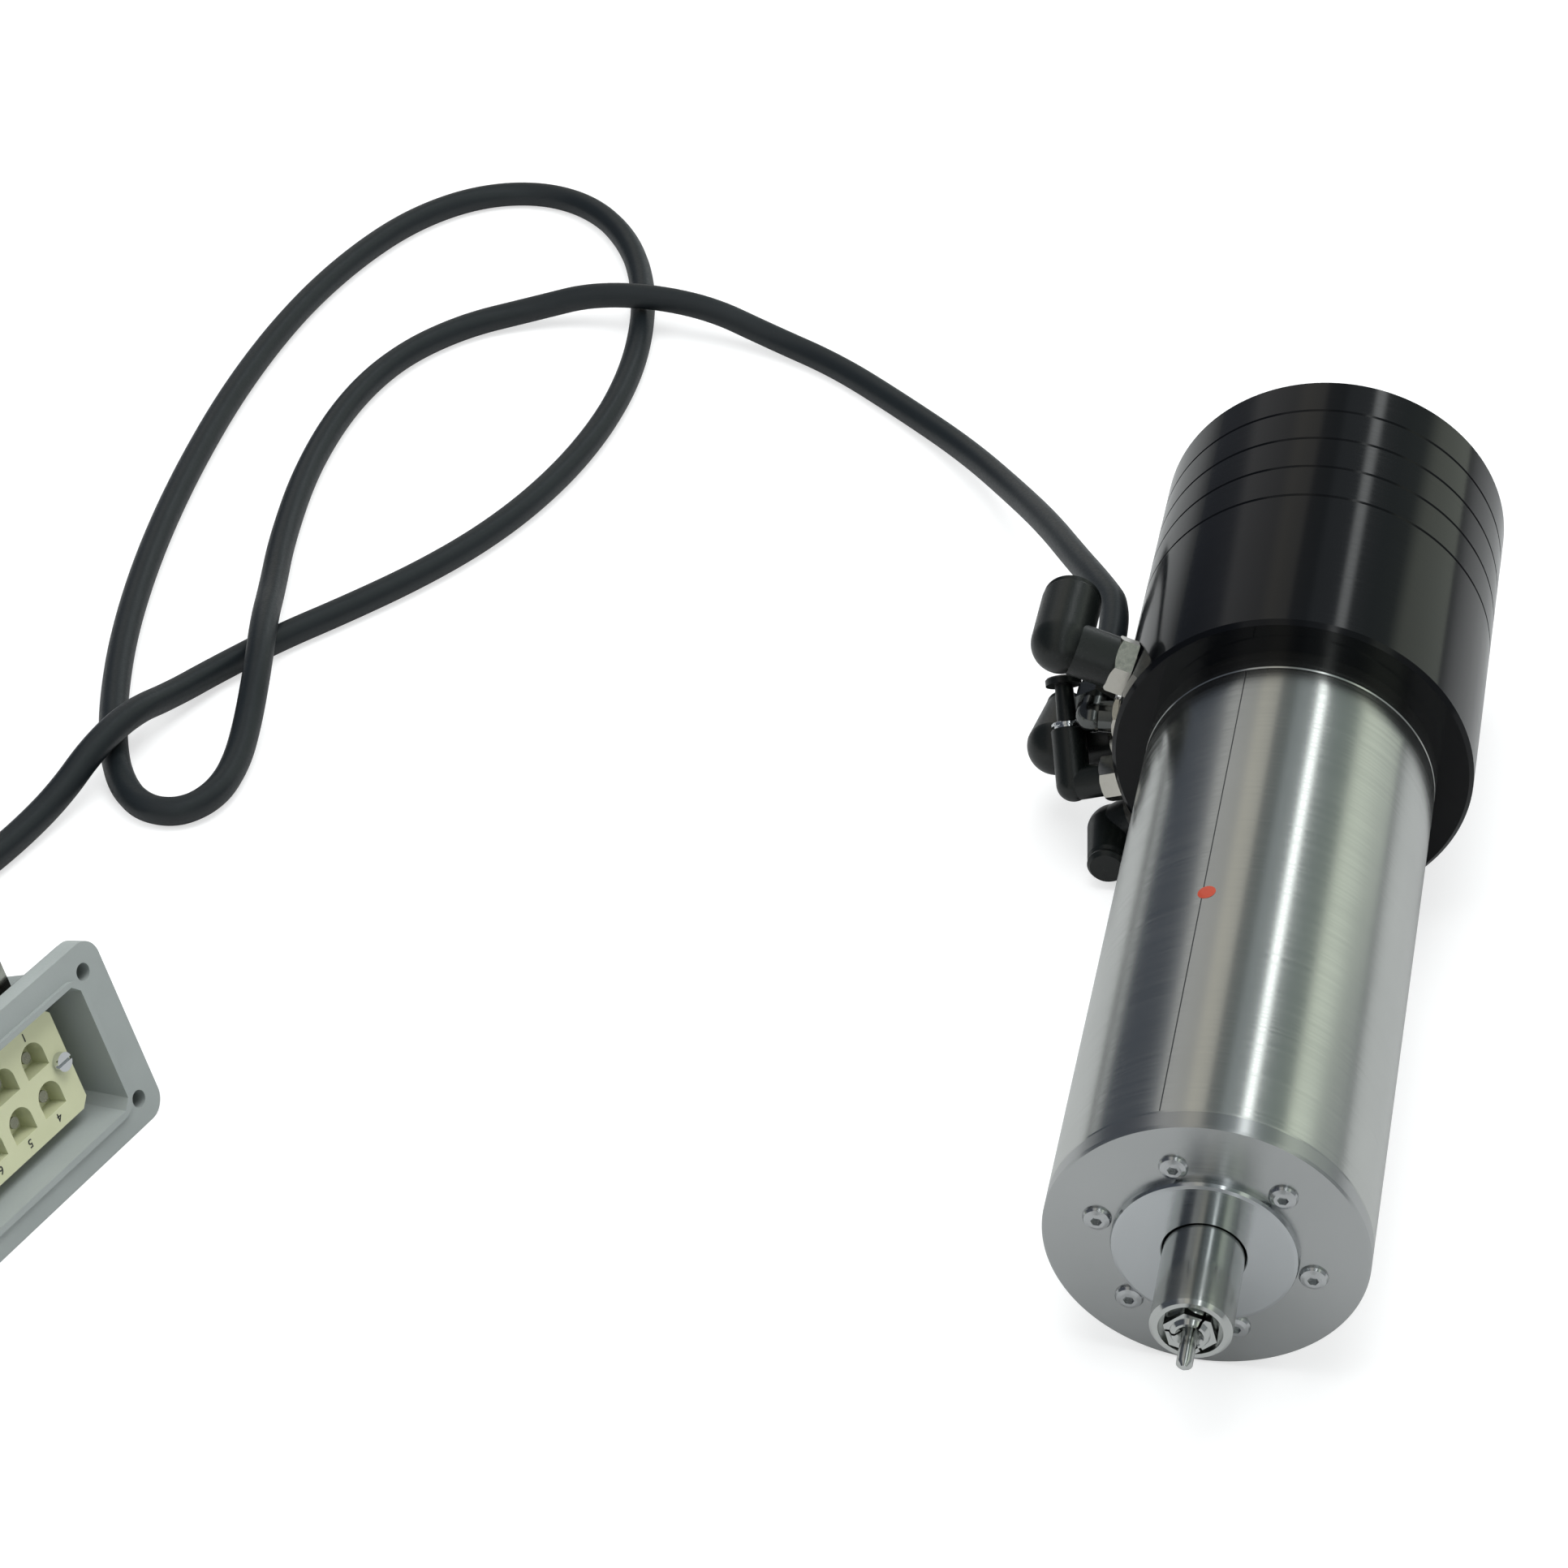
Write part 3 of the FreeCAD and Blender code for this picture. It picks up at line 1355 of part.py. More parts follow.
for rib in range(1, 5):
    radius = f"relief_root_radius - (relief_root_radius - relief_tip_radius) * {rib} / 5"
    relief_outline += [
        (f"gland_nut_end + {RELIEF_STEP} * {rib}", radius),
        (f"gland_nut_end + {RELIEF_STEP} * {rib} + 0.3", f"{radius} - 0.4"),
        (f"gland_nut_end + {RELIEF_STEP} * {rib} + 1.1", f"{radius} - 0.4"),
        (f"gland_nut_end + {RELIEF_STEP} * {rib} + 1.4", radius),
    ]
relief_outline += [("relief_end", "relief_tip_radius"), ("relief_end", "0")]
revolve(strain_relief, "sleeve", relief_outline, axis="H_Axis", shift=("0", "gland_reach", "0"))

# Connector, in its own axes: X along the flange, Y up the flange and Z from the mating face into the shell
heading = math.radians(number("plug_heading"))
lean = math.radians(number("plug_tilt"))
plug_x = Vector(math.cos(heading), math.sin(heading), 0)
plug_y = Vector(math.sin(heading), -math.cos(heading), 0) * math.sin(lean) + Vector(0, 0, math.cos(lean))
plug_turn = Rotation(plug_x, plug_y, plug_x.cross(plug_y), "ZXY")
PLUG_PLACE = Placement(Vector(number("plug_corner_x"), number("plug_corner_y"), table_height), plug_turn)
MIDDLE_X = "flange_length / 2"
MIDDLE_Y = "flange_height / 2"


def rounded_outline(length, height, corner, middle_y=MIDDLE_Y):
    """A rectangle with round corners about the flange's middle, or at another height."""
    left, right = f"{MIDDLE_X} - ({length}) / 2", f"{MIDDLE_X} + ({length}) / 2"
    low, high = f"{middle_y} - ({height}) / 2", f"{middle_y} + ({height}) / 2"
    return [
        (f"{left} + {corner}", low),
        (f"{right} - {corner}", low, corner, 1),
        (right, f"{low} + {corner}"),
        (right, f"{high} - {corner}", corner, 1),
        (f"{right} - {corner}", high),
        (f"{left} + {corner}", high, corner, 1),
        (left, f"{high} - {corner}"),
        (left, f"{low} + {corner}", corner, 1),
    ]


def cut_outline(length, height, corner, middle_y=MIDDLE_Y):
    """A rectangle with its corners cut off, about the flange's middle or at another height."""
    return [point[:2] for point in rounded_outline(length, height, corner, middle_y)]


plug_shell = new_body("connector_shell", PLUG_PLACE)
flange = plane_sketch(plug_shell, "flange_outline", "XY_Plane")
draw(flange, rounded_outline("flange_length", "flange_height", "flange_corner"))
extrude(plug_shell, "flange", flange, "flange_thickness")
root = plane_sketch(plug_shell, "shell_root_outline", "XY_Plane", shift=("0", "0", "flange_thickness"))
draw(root, rounded_outline("shell_length", "shell_height", "flange_corner"))
back = plane_sketch(
    plug_shell, "shell_back_outline", "XY_Plane", shift=("0", "0", "flange_thickness + shell_depth")
)
BACK_MIDDLE = f"{MIDDLE_Y} + (shell_draft - shell_top_draft) / 2"
BACK_HEIGHT = "shell_height - shell_draft - shell_top_draft"
draw(back, rounded_outline("shell_length - shell_draft", BACK_HEIGHT, "flange_corner - 1", BACK_MIDDLE))
loft = plug_shell.newObject("PartDesign::AdditiveLoft", "shell_walls")
loft.Profile = root
loft.Sections = [back]
loft.Ruled = True
rim = plane_sketch(plug_shell, "rim_outline", "XY_Plane", shift=("0", "0", "-rim_rise"))
CAVITY = ("shell_length - shell_wall * 2", "shell_height - shell_wall * 2")
draw(rim, rounded_outline(f"{CAVITY[0]} + rim_width * 2", f"{CAVITY[1]} + rim_width * 2", "flange_corner - 0.4"))
extrude(plug_shell, "rim", rim, "rim_rise")
BOSS_Y = f"{MIDDLE_Y} + shell_height / 2"
boss = plane_sketch(
    plug_shell, "cable_boss_outline", "XZ_Plane", shift=("0", "0", f"-({BOSS_Y}) - cable_boss_rise")
)
draw_circle(boss, "boss_collar_radius", "cable_entry_along", "cable_entry_depth")
extrude(plug_shell, "cable_boss", boss, "cable_boss_rise + 8")
cavity = plane_sketch(plug_shell, "cavity_outline", "XY_Plane", shift=("0", "0", "-rim_rise - 1"))
draw(cavity, cut_outline(CAVITY[0], CAVITY[1], "cavity_corner"))
floor = plane_sketch(
    plug_shell, "cavity_floor_outline", "XY_Plane", shift=("0", "0", "insert_recess + insert_depth + 0.5")
)
FLOOR_MIDDLE = f"{MIDDLE_Y} + cavity_draft / 2 - 0.4"
draw(
    floor,
    cut_outline(f"{CAVITY[0]} - cavity_draft", f"{CAVITY[1]} - cavity_draft - 0.8", "cavity_corner", FLOOR_MIDDLE),
)
hollow = plug_shell.newObject("PartDesign::SubtractiveLoft", "cavity")
hollow.Profile = cavity
hollow.Sections = [floor]
hollow.Ruled = True
plug_shell.Tip = hollow
HOLE_SPAN_X = "flange_length - flange_hole_inset * 2"
HOLE_SPAN_Y = "flange_height - flange_hole_inset * 2"
for name, x, y in (
    ("hole_a", "flange_hole_inset", "flange_hole_inset"),
    ("hole_b", "flange_length - flange_hole_inset", "flange_hole_inset"),
    ("hole_c", "flange_hole_inset", "flange_height - flange_hole_inset"),
    ("hole_d", "flange_length - flange_hole_inset", "flange_height - flange_hole_inset"),
):
    hole = plane_sketch(plug_shell, f"{name}_outline", "XY_Plane", shift=("0", "0", "-1"))
    draw_circle(hole, "flange_hole_radius", x, y)
    extrude(plug_shell, name, hole, "flange_thickness + 2", cut=True)

# Insert in the shell's mouth, with two rows of contact chambers
INSERT_FRONT = "insert_recess"
insert = new_body("connector_insert", PLUG_PLACE)
block = plane_sketch(insert, "block_outline", "XY_Plane", shift=("0", "0", INSERT_FRONT))
INSERT_MIDDLE = f"{MIDDLE_Y} + cavity_draft / 2"
draw(block, cut_outline("insert_length", "insert_height", "cavity_corner", INSERT_MIDDLE))
extrude(insert, "block", block, "insert_depth")
CHAMBERS = [(column, row) for row in (-1, 1) for column in (-1, 0, 1)]
rounds = plane_sketch(insert, "chamber_rounds_outline", "XY_Plane", shift=("0", "0", INSERT_FRONT))
for column, row in CHAMBERS:
    centre_x = f"{MIDDLE_X} + chamber_pitch * {column}"
    draw_circle(rounds, "chamber_radius", centre_x, f"{INSERT_MIDDLE} + chamber_row / 2 * {row}")
extrude(insert, "chamber_rounds", rounds, "insert_depth - chamber_floor", cut=True)
flats = plane_sketch(insert, "chamber_flats_outline", "XY_Plane", shift=("0", "0", INSERT_FRONT))
for column, row in CHAMBERS:
    centre_x = f"{MIDDLE_X} + chamber_pitch * {column}"
    centre_y = f"{INSERT_MIDDLE} + chamber_row / 2 * {row}"
    draw(
        flats,
        rectangle(
            f"{centre_x} - chamber_radius", f"{centre_x} + chamber_radius", f"{centre_y} - chamber_radius", centre_y
        ),
    )
extrude(insert, "chamber_flats", flats, "insert_depth - chamber_floor", cut=True)
for number_of_hole, side in enumerate((-1, 1), start=1):
    hole = plane_sketch(insert, f"screw_hole_{number_of_hole}_outline", "XY_Plane", shift=("0", "0", INSERT_FRONT))
    centre_x = f"{MIDDLE_X} + (insert_length / 2 - insert_screw_inset) * {side}"
    draw_circle(hole, "insert_screw_radius + seat_gap", centre_x, INSERT_MIDDLE)
    extrude(insert, f"screw_hole_{number_of_hole}", hole, "insert_depth - chamber_floor", cut=True)

contacts = []
for column, row in CHAMBERS:
    centre = Vector(
        number(MIDDLE_X) + number("chamber_pitch") * column,
        number(INSERT_MIDDLE) + number("chamber_row") / 2 * row,
        number("insert_recess + insert_depth - chamber_floor"),
    )
    height = number("insert_depth - chamber_floor - contact_recess")
    contacts.append(Part.makeCylinder(number("contact_radius"), height, centre, Vector(0, 0, -1)))
new_feature("connector_contacts", Part.makeCompound(contacts), PLUG_PLACE)

insert_screws = []
for side in (-1, 1):
    centre = Vector(
        number(f"{MIDDLE_X} + (insert_length / 2 - insert_screw_inset) * {side}"),
        number(INSERT_MIDDLE),
        number(INSERT_FRONT),
    )
    head = Part.makeCylinder(number("insert_screw_head"), 2.0, centre, Vector(0, 0, -1))
    shank = Part.makeCylinder(number("insert_screw_radius"), number("insert_depth - chamber_floor") - 1, centre)
    span = number("insert_screw_head") * 3
    slot = Part.makeBox(span, 0.9, 1.0, centre + Vector(-span / 2, -0.45, -2.0))
    insert_screws.append(head.fuse(shank).removeSplitter().cut(slot))
new_feature("insert_screws", Part.makeCompound(insert_screws), PLUG_PLACE)

# Flange gasket behind the flange's edge, and the cable's gland nut on the shell
gasket = new_body("flange_gasket", PLUG_PLACE)
sheet_outline = plane_sketch(gasket, "gasket_outline", "XY_Plane", shift=("0", "0", "flange_thickness"))
draw(sheet_outline, rounded_outline("flange_length - 1", "flange_height - 1", "flange_corner"))
draw(sheet_outline, rounded_outline("shell_length + 1", "shell_height + 1", "flange_corner"))
extrude(gasket, "gasket", sheet_outline, "gasket_thickness")

GLAND_SEAT = f"{BOSS_Y} + cable_boss_rise"
cable_end_nut = new_body("connector_gland", PLUG_PLACE)
nut = plane_sketch(cable_end_nut, "nut_outline", "XZ_Plane", shift=("0", "0", f"-({GLAND_SEAT}) - end_nut_height"))
draw(nut, [(f"cable_entry_along + {x}", f"cable_entry_depth + {y}") for x, y in hexagon("end_nut_flats")])
extrude(cable_end_nut, "nut", nut, "end_nut_height")
dome = plane_sketch(cable_end_nut, "dome_outline", "XY_Plane", shift=("cable_entry_along", "0", "cable_entry_depth"))
draw(
    dome,
    [
        ("0", f"{GLAND_SEAT} + end_nut_height - 1"),
        ("end_dome_radius", f"{GLAND_SEAT} + end_nut_height - 1"),
        ("end_dome_radius", f"{GLAND_SEAT} + end_nut_height + end_dome_height / 2"),
        ("cable_radius + 1", f"{GLAND_SEAT} + end_nut_height + end_dome_height"),
        ("0", f"{GLAND_SEAT} + end_nut_height + end_dome_height"),
    ],
)
dome_feature = cable_end_nut.newObject("PartDesign::Revolution", "dome")
dome_feature.Profile = dome
dome_feature.ReferenceAxis = (dome, ["V_Axis"])
dome_feature.Angle = 360

# Power cable: straight runs joined by tangent arcs, from the strain relief to the connector's gland
cable_height = table_height + number("cable_radius")
relief_mouth = CABLE_PLACE.multVec(Vector(number("relief_end"), 0, number("gland_reach")))
gland_top = number(f"{GLAND_SEAT} + end_nut_height + end_dome_height")
gland_mouth = PLUG_PLACE.multVec(Vector(number("cable_entry_along"), gland_top, number("cable_entry_depth")))
route = [relief_mouth]
route += [Vector(x, y, cable_height + lift) for x, y, lift in CABLE_ROUTE]
route += [gland_mouth]


def cord_path(points):
    """Straight runs joined by tangent arcs of 0.45 of the shorter run, with the arcs' radii."""
    edges, radii = [], []
    here = points[0]
    for before, corner, after in zip(points, points[1:], points[2:]):
        inward, outward = (corner - before), (after - corner)
        setback = 0.45 * min(inward.Length, outward.Length)
        turn = inward.getAngle(outward)
        inward, outward = inward.normalize(), outward.normalize()
        start, end = corner - inward * setback, corner + outward * setback
        radius = setback / math.tan(turn / 2)
        middle = (outward - inward).normalize()
        crown = corner + middle * (radius / math.cos(turn / 2) - radius)
        edges += [Part.LineSegment(here, start).toShape(), Part.Arc(start, crown, end).toShape()]
        radii.append(radius)
        here = end
    edges.append(Part.LineSegment(here, points[-1]).toShape())
    return Part.Wire(edges), radii


cable_path, cable_radii = cord_path(route)
cable_section = Part.Wire([Part.Circle(route[0], route[1] - route[0], number("cable_radius")).toShape()])
new_feature("power_cable", cable_path.makePipeShell([cable_section], True, False))
print("cable radii", " ".join(f"{radius:.0f}" for radius in cable_radii))
cable_volume = math.pi * number("cable_radius") ** 2 * cable_path.Length
print(f"cable length {cable_path.Length:.1f}, volume share {parts['power_cable'].Shape.Volume / cable_volume:.5f}")

document.recompute()
for item in document.Objects:
    if "Invalid" in item.State or "Error" in item.State:
        raise RuntimeError(f"{item.Label} failed: {item.State} {item.getStatusString()}")
os.makedirs("parts", exist_ok=True)
for label, item in parts.items():
    if item.Shape.isNull() or not item.Shape.isValid():
        raise RuntimeError(f"{label} has no valid shape")
    item.Shape.exportStep(f"parts/{label}.step")
    print(f"{label}: {len(item.Shape.Solids)} solids, {item.Shape.Volume:.0f} mm3")
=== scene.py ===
"""A water-cooled milling spindle on a table, with its hose fittings, power cable and connector."""

import logging
import math
from dataclasses import dataclass, field
from enum import Enum

import bpy
from mathutils import Matrix, Vector


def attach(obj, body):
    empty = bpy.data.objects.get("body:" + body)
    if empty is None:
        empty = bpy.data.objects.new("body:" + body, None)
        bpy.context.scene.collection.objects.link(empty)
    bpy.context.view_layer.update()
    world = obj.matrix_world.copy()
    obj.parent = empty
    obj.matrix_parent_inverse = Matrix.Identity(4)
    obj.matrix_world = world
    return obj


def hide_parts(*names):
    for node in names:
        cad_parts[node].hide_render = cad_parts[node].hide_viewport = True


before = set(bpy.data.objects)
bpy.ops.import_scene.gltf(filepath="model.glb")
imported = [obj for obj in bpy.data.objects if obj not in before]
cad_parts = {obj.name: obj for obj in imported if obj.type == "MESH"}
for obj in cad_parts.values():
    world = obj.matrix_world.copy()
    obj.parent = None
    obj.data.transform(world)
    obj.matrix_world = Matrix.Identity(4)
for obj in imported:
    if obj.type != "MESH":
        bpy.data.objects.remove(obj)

logging.basicConfig(level=logging.INFO, format="%(message)s")
log = logging.getLogger("spindle")

# Metres in a millimetre
MM = 0.001
# Millimetres from the front face to the middle of the clamping length, where the part's origin is
CLAMP_MIDDLE = 93.8
TUBE_RADIUS = 40.0
HEAD_RADIUS = 50.0
# The head stands out past the tube, so the spindle lies with its nose down, in radians
TILT = math.atan((HEAD_RADIUS - TUBE_RADIUS) / (2 * CLAMP_MIDDLE))
# The table's height under the part's origin, in metres
TABLE = -(TUBE_RADIUS * math.cos(TILT) + CLAMP_MIDDLE * math.sin(TILT)) * MM
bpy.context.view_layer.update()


def linear(colour: str) -> tuple[float, float, float, float]:
    """Turn an sRGB hex colour into the linear values that shaders take.

    Args:
        colour: Six hex digits after a hash mark.

    Returns:
        Linear red, green and blue, and full alpha.
    """
    parts = [int(colour[i : i + 2], 16) / 255 for i in (1, 3, 5)]
    red, green, blue = [c / 12.92 if c <= 0.04045 else ((c + 0.055) / 1.055) ** 2.4 for c in parts]
    return red, green, blue, 1.0


def add_node(
    tree: bpy.types.NodeTree,
    kind: str,
    settings: dict[str, object] | None = None,
    values: dict[str, object] | None = None,
    links: dict[str, bpy.types.NodeSocket] | None = None,
) -> bpy.types.Node:
    """Add one shader node with its settings, socket values and incoming links.

    Args:
        tree: The tree that gets the node.
        kind: The node's Blender type.
        settings: Attributes of the node.
        values: Input sockets, by name or number, that hold a value.
        links: Input sockets, by name or number, that take another node's output.

    Returns:
        The new node.
    """
    node = tree.nodes.new(kind)
    for name, value in (settings or {}).items():
        setattr(node, name, value)
    for name, value in (values or {}).items():
        node.inputs[name].default_value = value
    for name, socket in (links or {}).items():
        tree.links.new(socket, node.inputs[name])
    return node


class Pattern(Enum):
    """How a surface was made, which gives the direction of its marks."""

    TURNED = "rings along the spindle's axis"
    FACED = "rings about the spindle's axis"
    GRAIN = "even grain"


@dataclass(frozen=True)
class Finish:
    """A surface: what it is made of, how it was worked and how large its marks are.

    Attributes:
        name: The real material and how it was finished.
        colour: Its colour, as sRGB hex.
        shade: The colour of its darker patches.
        pattern: The direction of its marks.
        mark_mm: How far its marks lie apart.
        metallic: 1 for bare metal, 0 for the rest.
        roughness: Its roughness between the marks' smoothest and roughest spots.
        roughness_spread: How much the marks add to that or take away.
        relief_mm: How deep the marks are.
        anisotropy: How far the marks draw a reflection out across themselves.
        coat: The share of a clear coat.
        ior: How strongly a surface that isn't metal mirrors.
        mottle_mm: The size of the darker patches.
        mottle: How much of the shade they take.
        noise_low: The level that a noise of 0 to 1 seldom goes below.
        noise_high: The level that it seldom goes above.
        smoothest: The least roughness of any spot.
        bump_strength: How strongly the marks turn the surface's direction.
        quarter_turn: The turn that draws reflections out across a lathe's rings.
        coat_roughness: The clear coat's roughness.
    """

    name: str
    colour: str
    shade: str
    pattern: Pattern
    mark_mm: float
    metallic: float = 0.0
    roughness: float = 0.4
    roughness_spread: float = 0.06
    relief_mm: float = 0.004
    anisotropy: float = 0.0
    coat: float = 0.0
    ior: float = 1.5
    mottle_mm: float = 30.0
    mottle: float = 0.35
    noise_low: float = 0.3
    noise_high: float = 0.7
    smoothest: float = 0.02
    bump_strength: float = 0.6
    quarter_turn: float = 0.25
    coat_roughness: float = 0.06

    def build(self) -> bpy.types.Material:
        """Build the node material.

        Returns:
            The material, made once and then taken from Blender's list.
        """
        # The frame brings plain materials along, some under the finish's own name
        name = f"{self.name}_surface"
        known = bpy.data.materials.get(name)
        if known is not None:
            return known
        material = bpy.data.materials.new(name)
        material.use_nodes = True
        tree = material.node_tree
        tree.nodes.clear()
        place = add_node(tree, "ShaderNodeTexCoord")
        level = add_node(
            tree,
            "ShaderNodeMapping",
            values={"Rotation": (-TILT, 0.0, 0.0)},
            links={"Vector": place.outputs["Object"]},
        )
        marks = self._marks(tree, level.outputs["Vector"])
        cloud = add_node(
            tree,
            "ShaderNodeTexNoise",
            values={"Scale": 1 / (self.mottle_mm * MM), "Detail": 3.0, "Roughness": 0.55},
            links={"Vector": level.outputs["Vector"]},
        )
        share = add_node(
            tree,
            "ShaderNodeMapRange",
            values={
                "From Min": self.noise_low,
                "From Max": self.noise_high,
                "To Min": 0.0,
                "To Max": self.mottle,
            },
            links={"Value": cloud.outputs["Fac"]},
        )
        tint = add_node(
            tree,
            "ShaderNodeMix",
            settings={"data_type": "RGBA"},
            links={0: share.outputs["Result"]},
        )
        # The node has sockets of one name for numbers, vectors and colours
        for socket in tint.inputs:
            if socket.type == "RGBA":
                socket.default_value = linear(self.colour if socket.name == "A" else self.shade)
        sheen = add_node(
            tree,
            "ShaderNodeMapRange",
            values={
                "From Min": self.noise_low,
                "From Max": self.noise_high,
                "To Min": max(self.roughness - self.roughness_spread, self.smoothest),
                "To Max": self.roughness + self.roughness_spread,
            },
            links={"Value": marks},
        )
        relief = add_node(
            tree,
            "ShaderNodeBump",
            values={"Strength": self.bump_strength, "Distance": self.relief_mm * MM},
            links={"Height": marks},
        )
        tint_out = next(socket for socket in tint.outputs if socket.type == "RGBA")
        links = {
            "Base Color": tint_out,
            "Roughness": sheen.outputs["Result"],
            "Normal": relief.outputs["Normal"],
        }
        if self.anisotropy:
            around = add_node(
                tree, "ShaderNodeTangent", settings={"direction_type": "RADIAL", "axis": "Y"}
            )
            links["Tangent"] = around.outputs["Tangent"]
        surface = add_node(
            tree,
            "ShaderNodeBsdfPrincipled",
            values={
                "Metallic": self.metallic,
                "IOR": self.ior,
                "Anisotropic": self.anisotropy,
                "Anisotropic Rotation": self.quarter_turn,
                "Coat Weight": self.coat,
                "Coat Roughness": self.coat_roughness,
            },
            links=links,
        )
        add_node(tree, "ShaderNodeOutputMaterial", links={"Surface": surface.outputs["BSDF"]})
        return material

    def _marks(self, tree: bpy.types.NodeTree, place: bpy.types.NodeSocket) -> bpy.types.NodeSocket:
        """Draw the marks that the tool, the mould or the grit left.

        Args:
            tree: The material's nodes.
            place: Coordinates with Y along the spindle's axis.

        Returns:
            The marks' height, from 0 to 1.
        """
        fine = 1 / (self.mark_mm * MM)
        if self.pattern is Pattern.FACED:
            flat = add_node(
                tree,
                "ShaderNodeVectorMath",
                settings={"operation": "MULTIPLY"},
                values={1: (1.0, 0.0, 1.0)},
                links={0: place},
            )
            reach = add_node(
                tree,
                "ShaderNodeVectorMath",
                settings={"operation": "LENGTH"},
                links={0: flat.outputs["Vector"]},
            )
            rings = add_node(
                tree,
                "ShaderNodeTexNoise",
                settings={"noise_dimensions": "1D"},
                values={"Scale": fine, "Detail": 3.0, "Roughness": 0.6},
                links={"W": reach.outputs["Value"]},
            )
            return rings.outputs["Fac"]
        # Rings run around the axis, so their noise is drawn out in every direction but along it
        stretch = (0.02, 1.0, 0.02) if self.pattern is Pattern.TURNED else (1.0, 1.0, 1.0)
        drawn = add_node(
            tree, "ShaderNodeMapping", values={"Scale": stretch}, links={"Vector": place}
        )
        noise = add_node(
            tree,
            "ShaderNodeTexNoise",
            values={"Scale": fine, "Detail": 3.0, "Roughness": 0.6},
            links={"Vector": drawn.outputs["Vector"]},
        )
        return noise.outputs["Fac"]


# Stainless tube turned on a lathe: it mirrors the room as long bands of light along the axis
TURNED_STAINLESS = Finish(
    "turned_stainless", "#C9CBC8", "#B3B6B3", Pattern.TURNED,
    0.9, 1.0, 0.19, 0.04, 0.0003, 0.6, mottle_mm=45,
)
# Stainless cap faced on a lathe: the ring marks spread a light into a fan
FACED_STAINLESS = Finish(
    "faced_stainless", "#B7B9B9", "#A6A9A9", Pattern.FACED,
    0.5, 1.0, 0.25, 0.02, 0.00005, 0.8, mottle_mm=60,
)
# Lapped steel: near a mirror
POLISHED_STEEL = Finish(
    "polished_steel", "#C2C5C7", "#B0B4B6", Pattern.FACED,
    0.5, 1.0, 0.15, 0.03, 0.0003, 0.6, mottle_mm=40,
)
# Ground steel of shafts, bars and rings
GROUND_STEEL = Finish(
    "ground_steel", "#C6C8C6", "#AEB1AF", Pattern.TURNED, 0.5, 1.0, 0.16, 0.03, 0.0003, 0.5
)
# Zinc-plated screw steel, tumbled, so its marks have no direction
SCREW_STEEL = Finish("screw_steel", "#C0C2C3", "#A9ABAD", Pattern.GRAIN, 0.5, 1.0, 0.2, 0.08, 0.004)
# Aluminium turned, then dyed black and sealed: deep gloss over faint ring marks
BLACK_ANODISED = Finish(
    "black_anodised_aluminium", "#060709", "#0A0B0F", Pattern.TURNED,
    0.8, 0.0, 0.11, 0.03, 0.0003, ior=1.32,
)
# Glass-filled black nylon from a mould: dull with a fine grain
MOULDED_NYLON = Finish(
    "moulded_black_nylon", "#0A0E0D", "#111615", Pattern.GRAIN,
    0.6, 0.0, 0.34, 0.07, 0.03, mottle_mm=12,
)
# Brass plated with nickel: warm bright metal
NICKEL_PLATE = Finish(
    "nickel_plated_brass", "#CFCCC4", "#B9B5AB", Pattern.GRAIN, 1.2, 1.0, 0.2, 0.06, 0.004
)
# The gland's body: the same nickel plate as the nuts, with painted shade, its colour darkened to
# stand in for the dark surroundings it mirrors
NICKEL_PAINTED_SHADE = Finish(
    "nickel_plate_painted_shade", "#6B6D6C", "#565857", Pattern.GRAIN, 1.2, 1.0, 0.16, 0.05, 0.004
)
# Bright chrome of the release ring
CHROME_PLATE = Finish(
    "chrome_plate", "#D6D8DA", "#C6C9CC", Pattern.GRAIN, 2.0, 1.0, 0.08, 0.03, 0.001
)
# Polyurethane cable sheath: matte, faintly ribbed by the cores' lay
CABLE_SHEATH = Finish(
    "polyurethane_sheath", "#13181B", "#1B2124", Pattern.GRAIN,
    0.9, 0.0, 0.44, 0.06, 0.03, mottle_mm=25,
)
# Grey thermoplastic of the connector: fine mould grain
GREY_PLASTIC = Finish(
    "moulded_grey_plastic", "#99A09E", "#8A918F", Pattern.GRAIN,
    0.8, 0.0, 0.5, 0.07, 0.03, mottle_mm=20,
)
# Cream insulating plastic of the contact block
CREAM_PLASTIC = Finish(
    "moulded_cream_plastic", "#CBCFAC", "#BCC09A", Pattern.GRAIN,
    0.8, 0.0, 0.45, 0.06, 0.02, mottle_mm=15,
)
NITRILE_RUBBER = Finish(
    "nitrile_rubber", "#141515", "#1C1D1D", Pattern.GRAIN, 0.5, 0.0, 0.6, 0.06, 0.02
)
CAST_ALUMINIUM = Finish(
    "turned_aluminium", "#BFC1C3", "#ADAFB2", Pattern.TURNED, 0.6, 1.0, 0.32, 0.06, 0.004
)
LAMINATED_STEEL = Finish(
    "laminated_steel", "#6D6F73", "#55575B", Pattern.TURNED, 0.5, 1.0, 0.42, 0.08, 0.02
)
COPPER_WINDING = Finish(
    "enamelled_copper", "#8E4A24", "#6E3518", Pattern.GRAIN, 1.2, 0.6, 0.32, 0.08, 0.15, coat=0.4
)
CAGE_BRASS = Finish("cage_brass", "#B9975B", "#A08148", Pattern.TURNED, 0.5, 1.0, 0.3, 0.06, 0.004)
SPRING_STEEL = Finish(
    "blued_spring_steel", "#6A7078", "#4D535C", Pattern.FACED, 0.5, 1.0, 0.3, 0.06, 0.004
)
TINNED_CONTACT = Finish(
    "tinned_contact", "#9C9D8B", "#85866F", Pattern.GRAIN, 0.8, 1.0, 0.3, 0.05, 0.003
)
RED_PAINT = Finish(
    "red_enamel", "#A03C27", "#8A3220", Pattern.GRAIN, 0.5, 0.0, 0.35, 0.05, 0.01, coat=0.3
)
SCRIBED_LINE = Finish(
    "scribed_line", "#6A6C6E", "#5A5C5E", Pattern.TURNED, 0.5, 1.0, 0.35, 0.06, 0.003
)
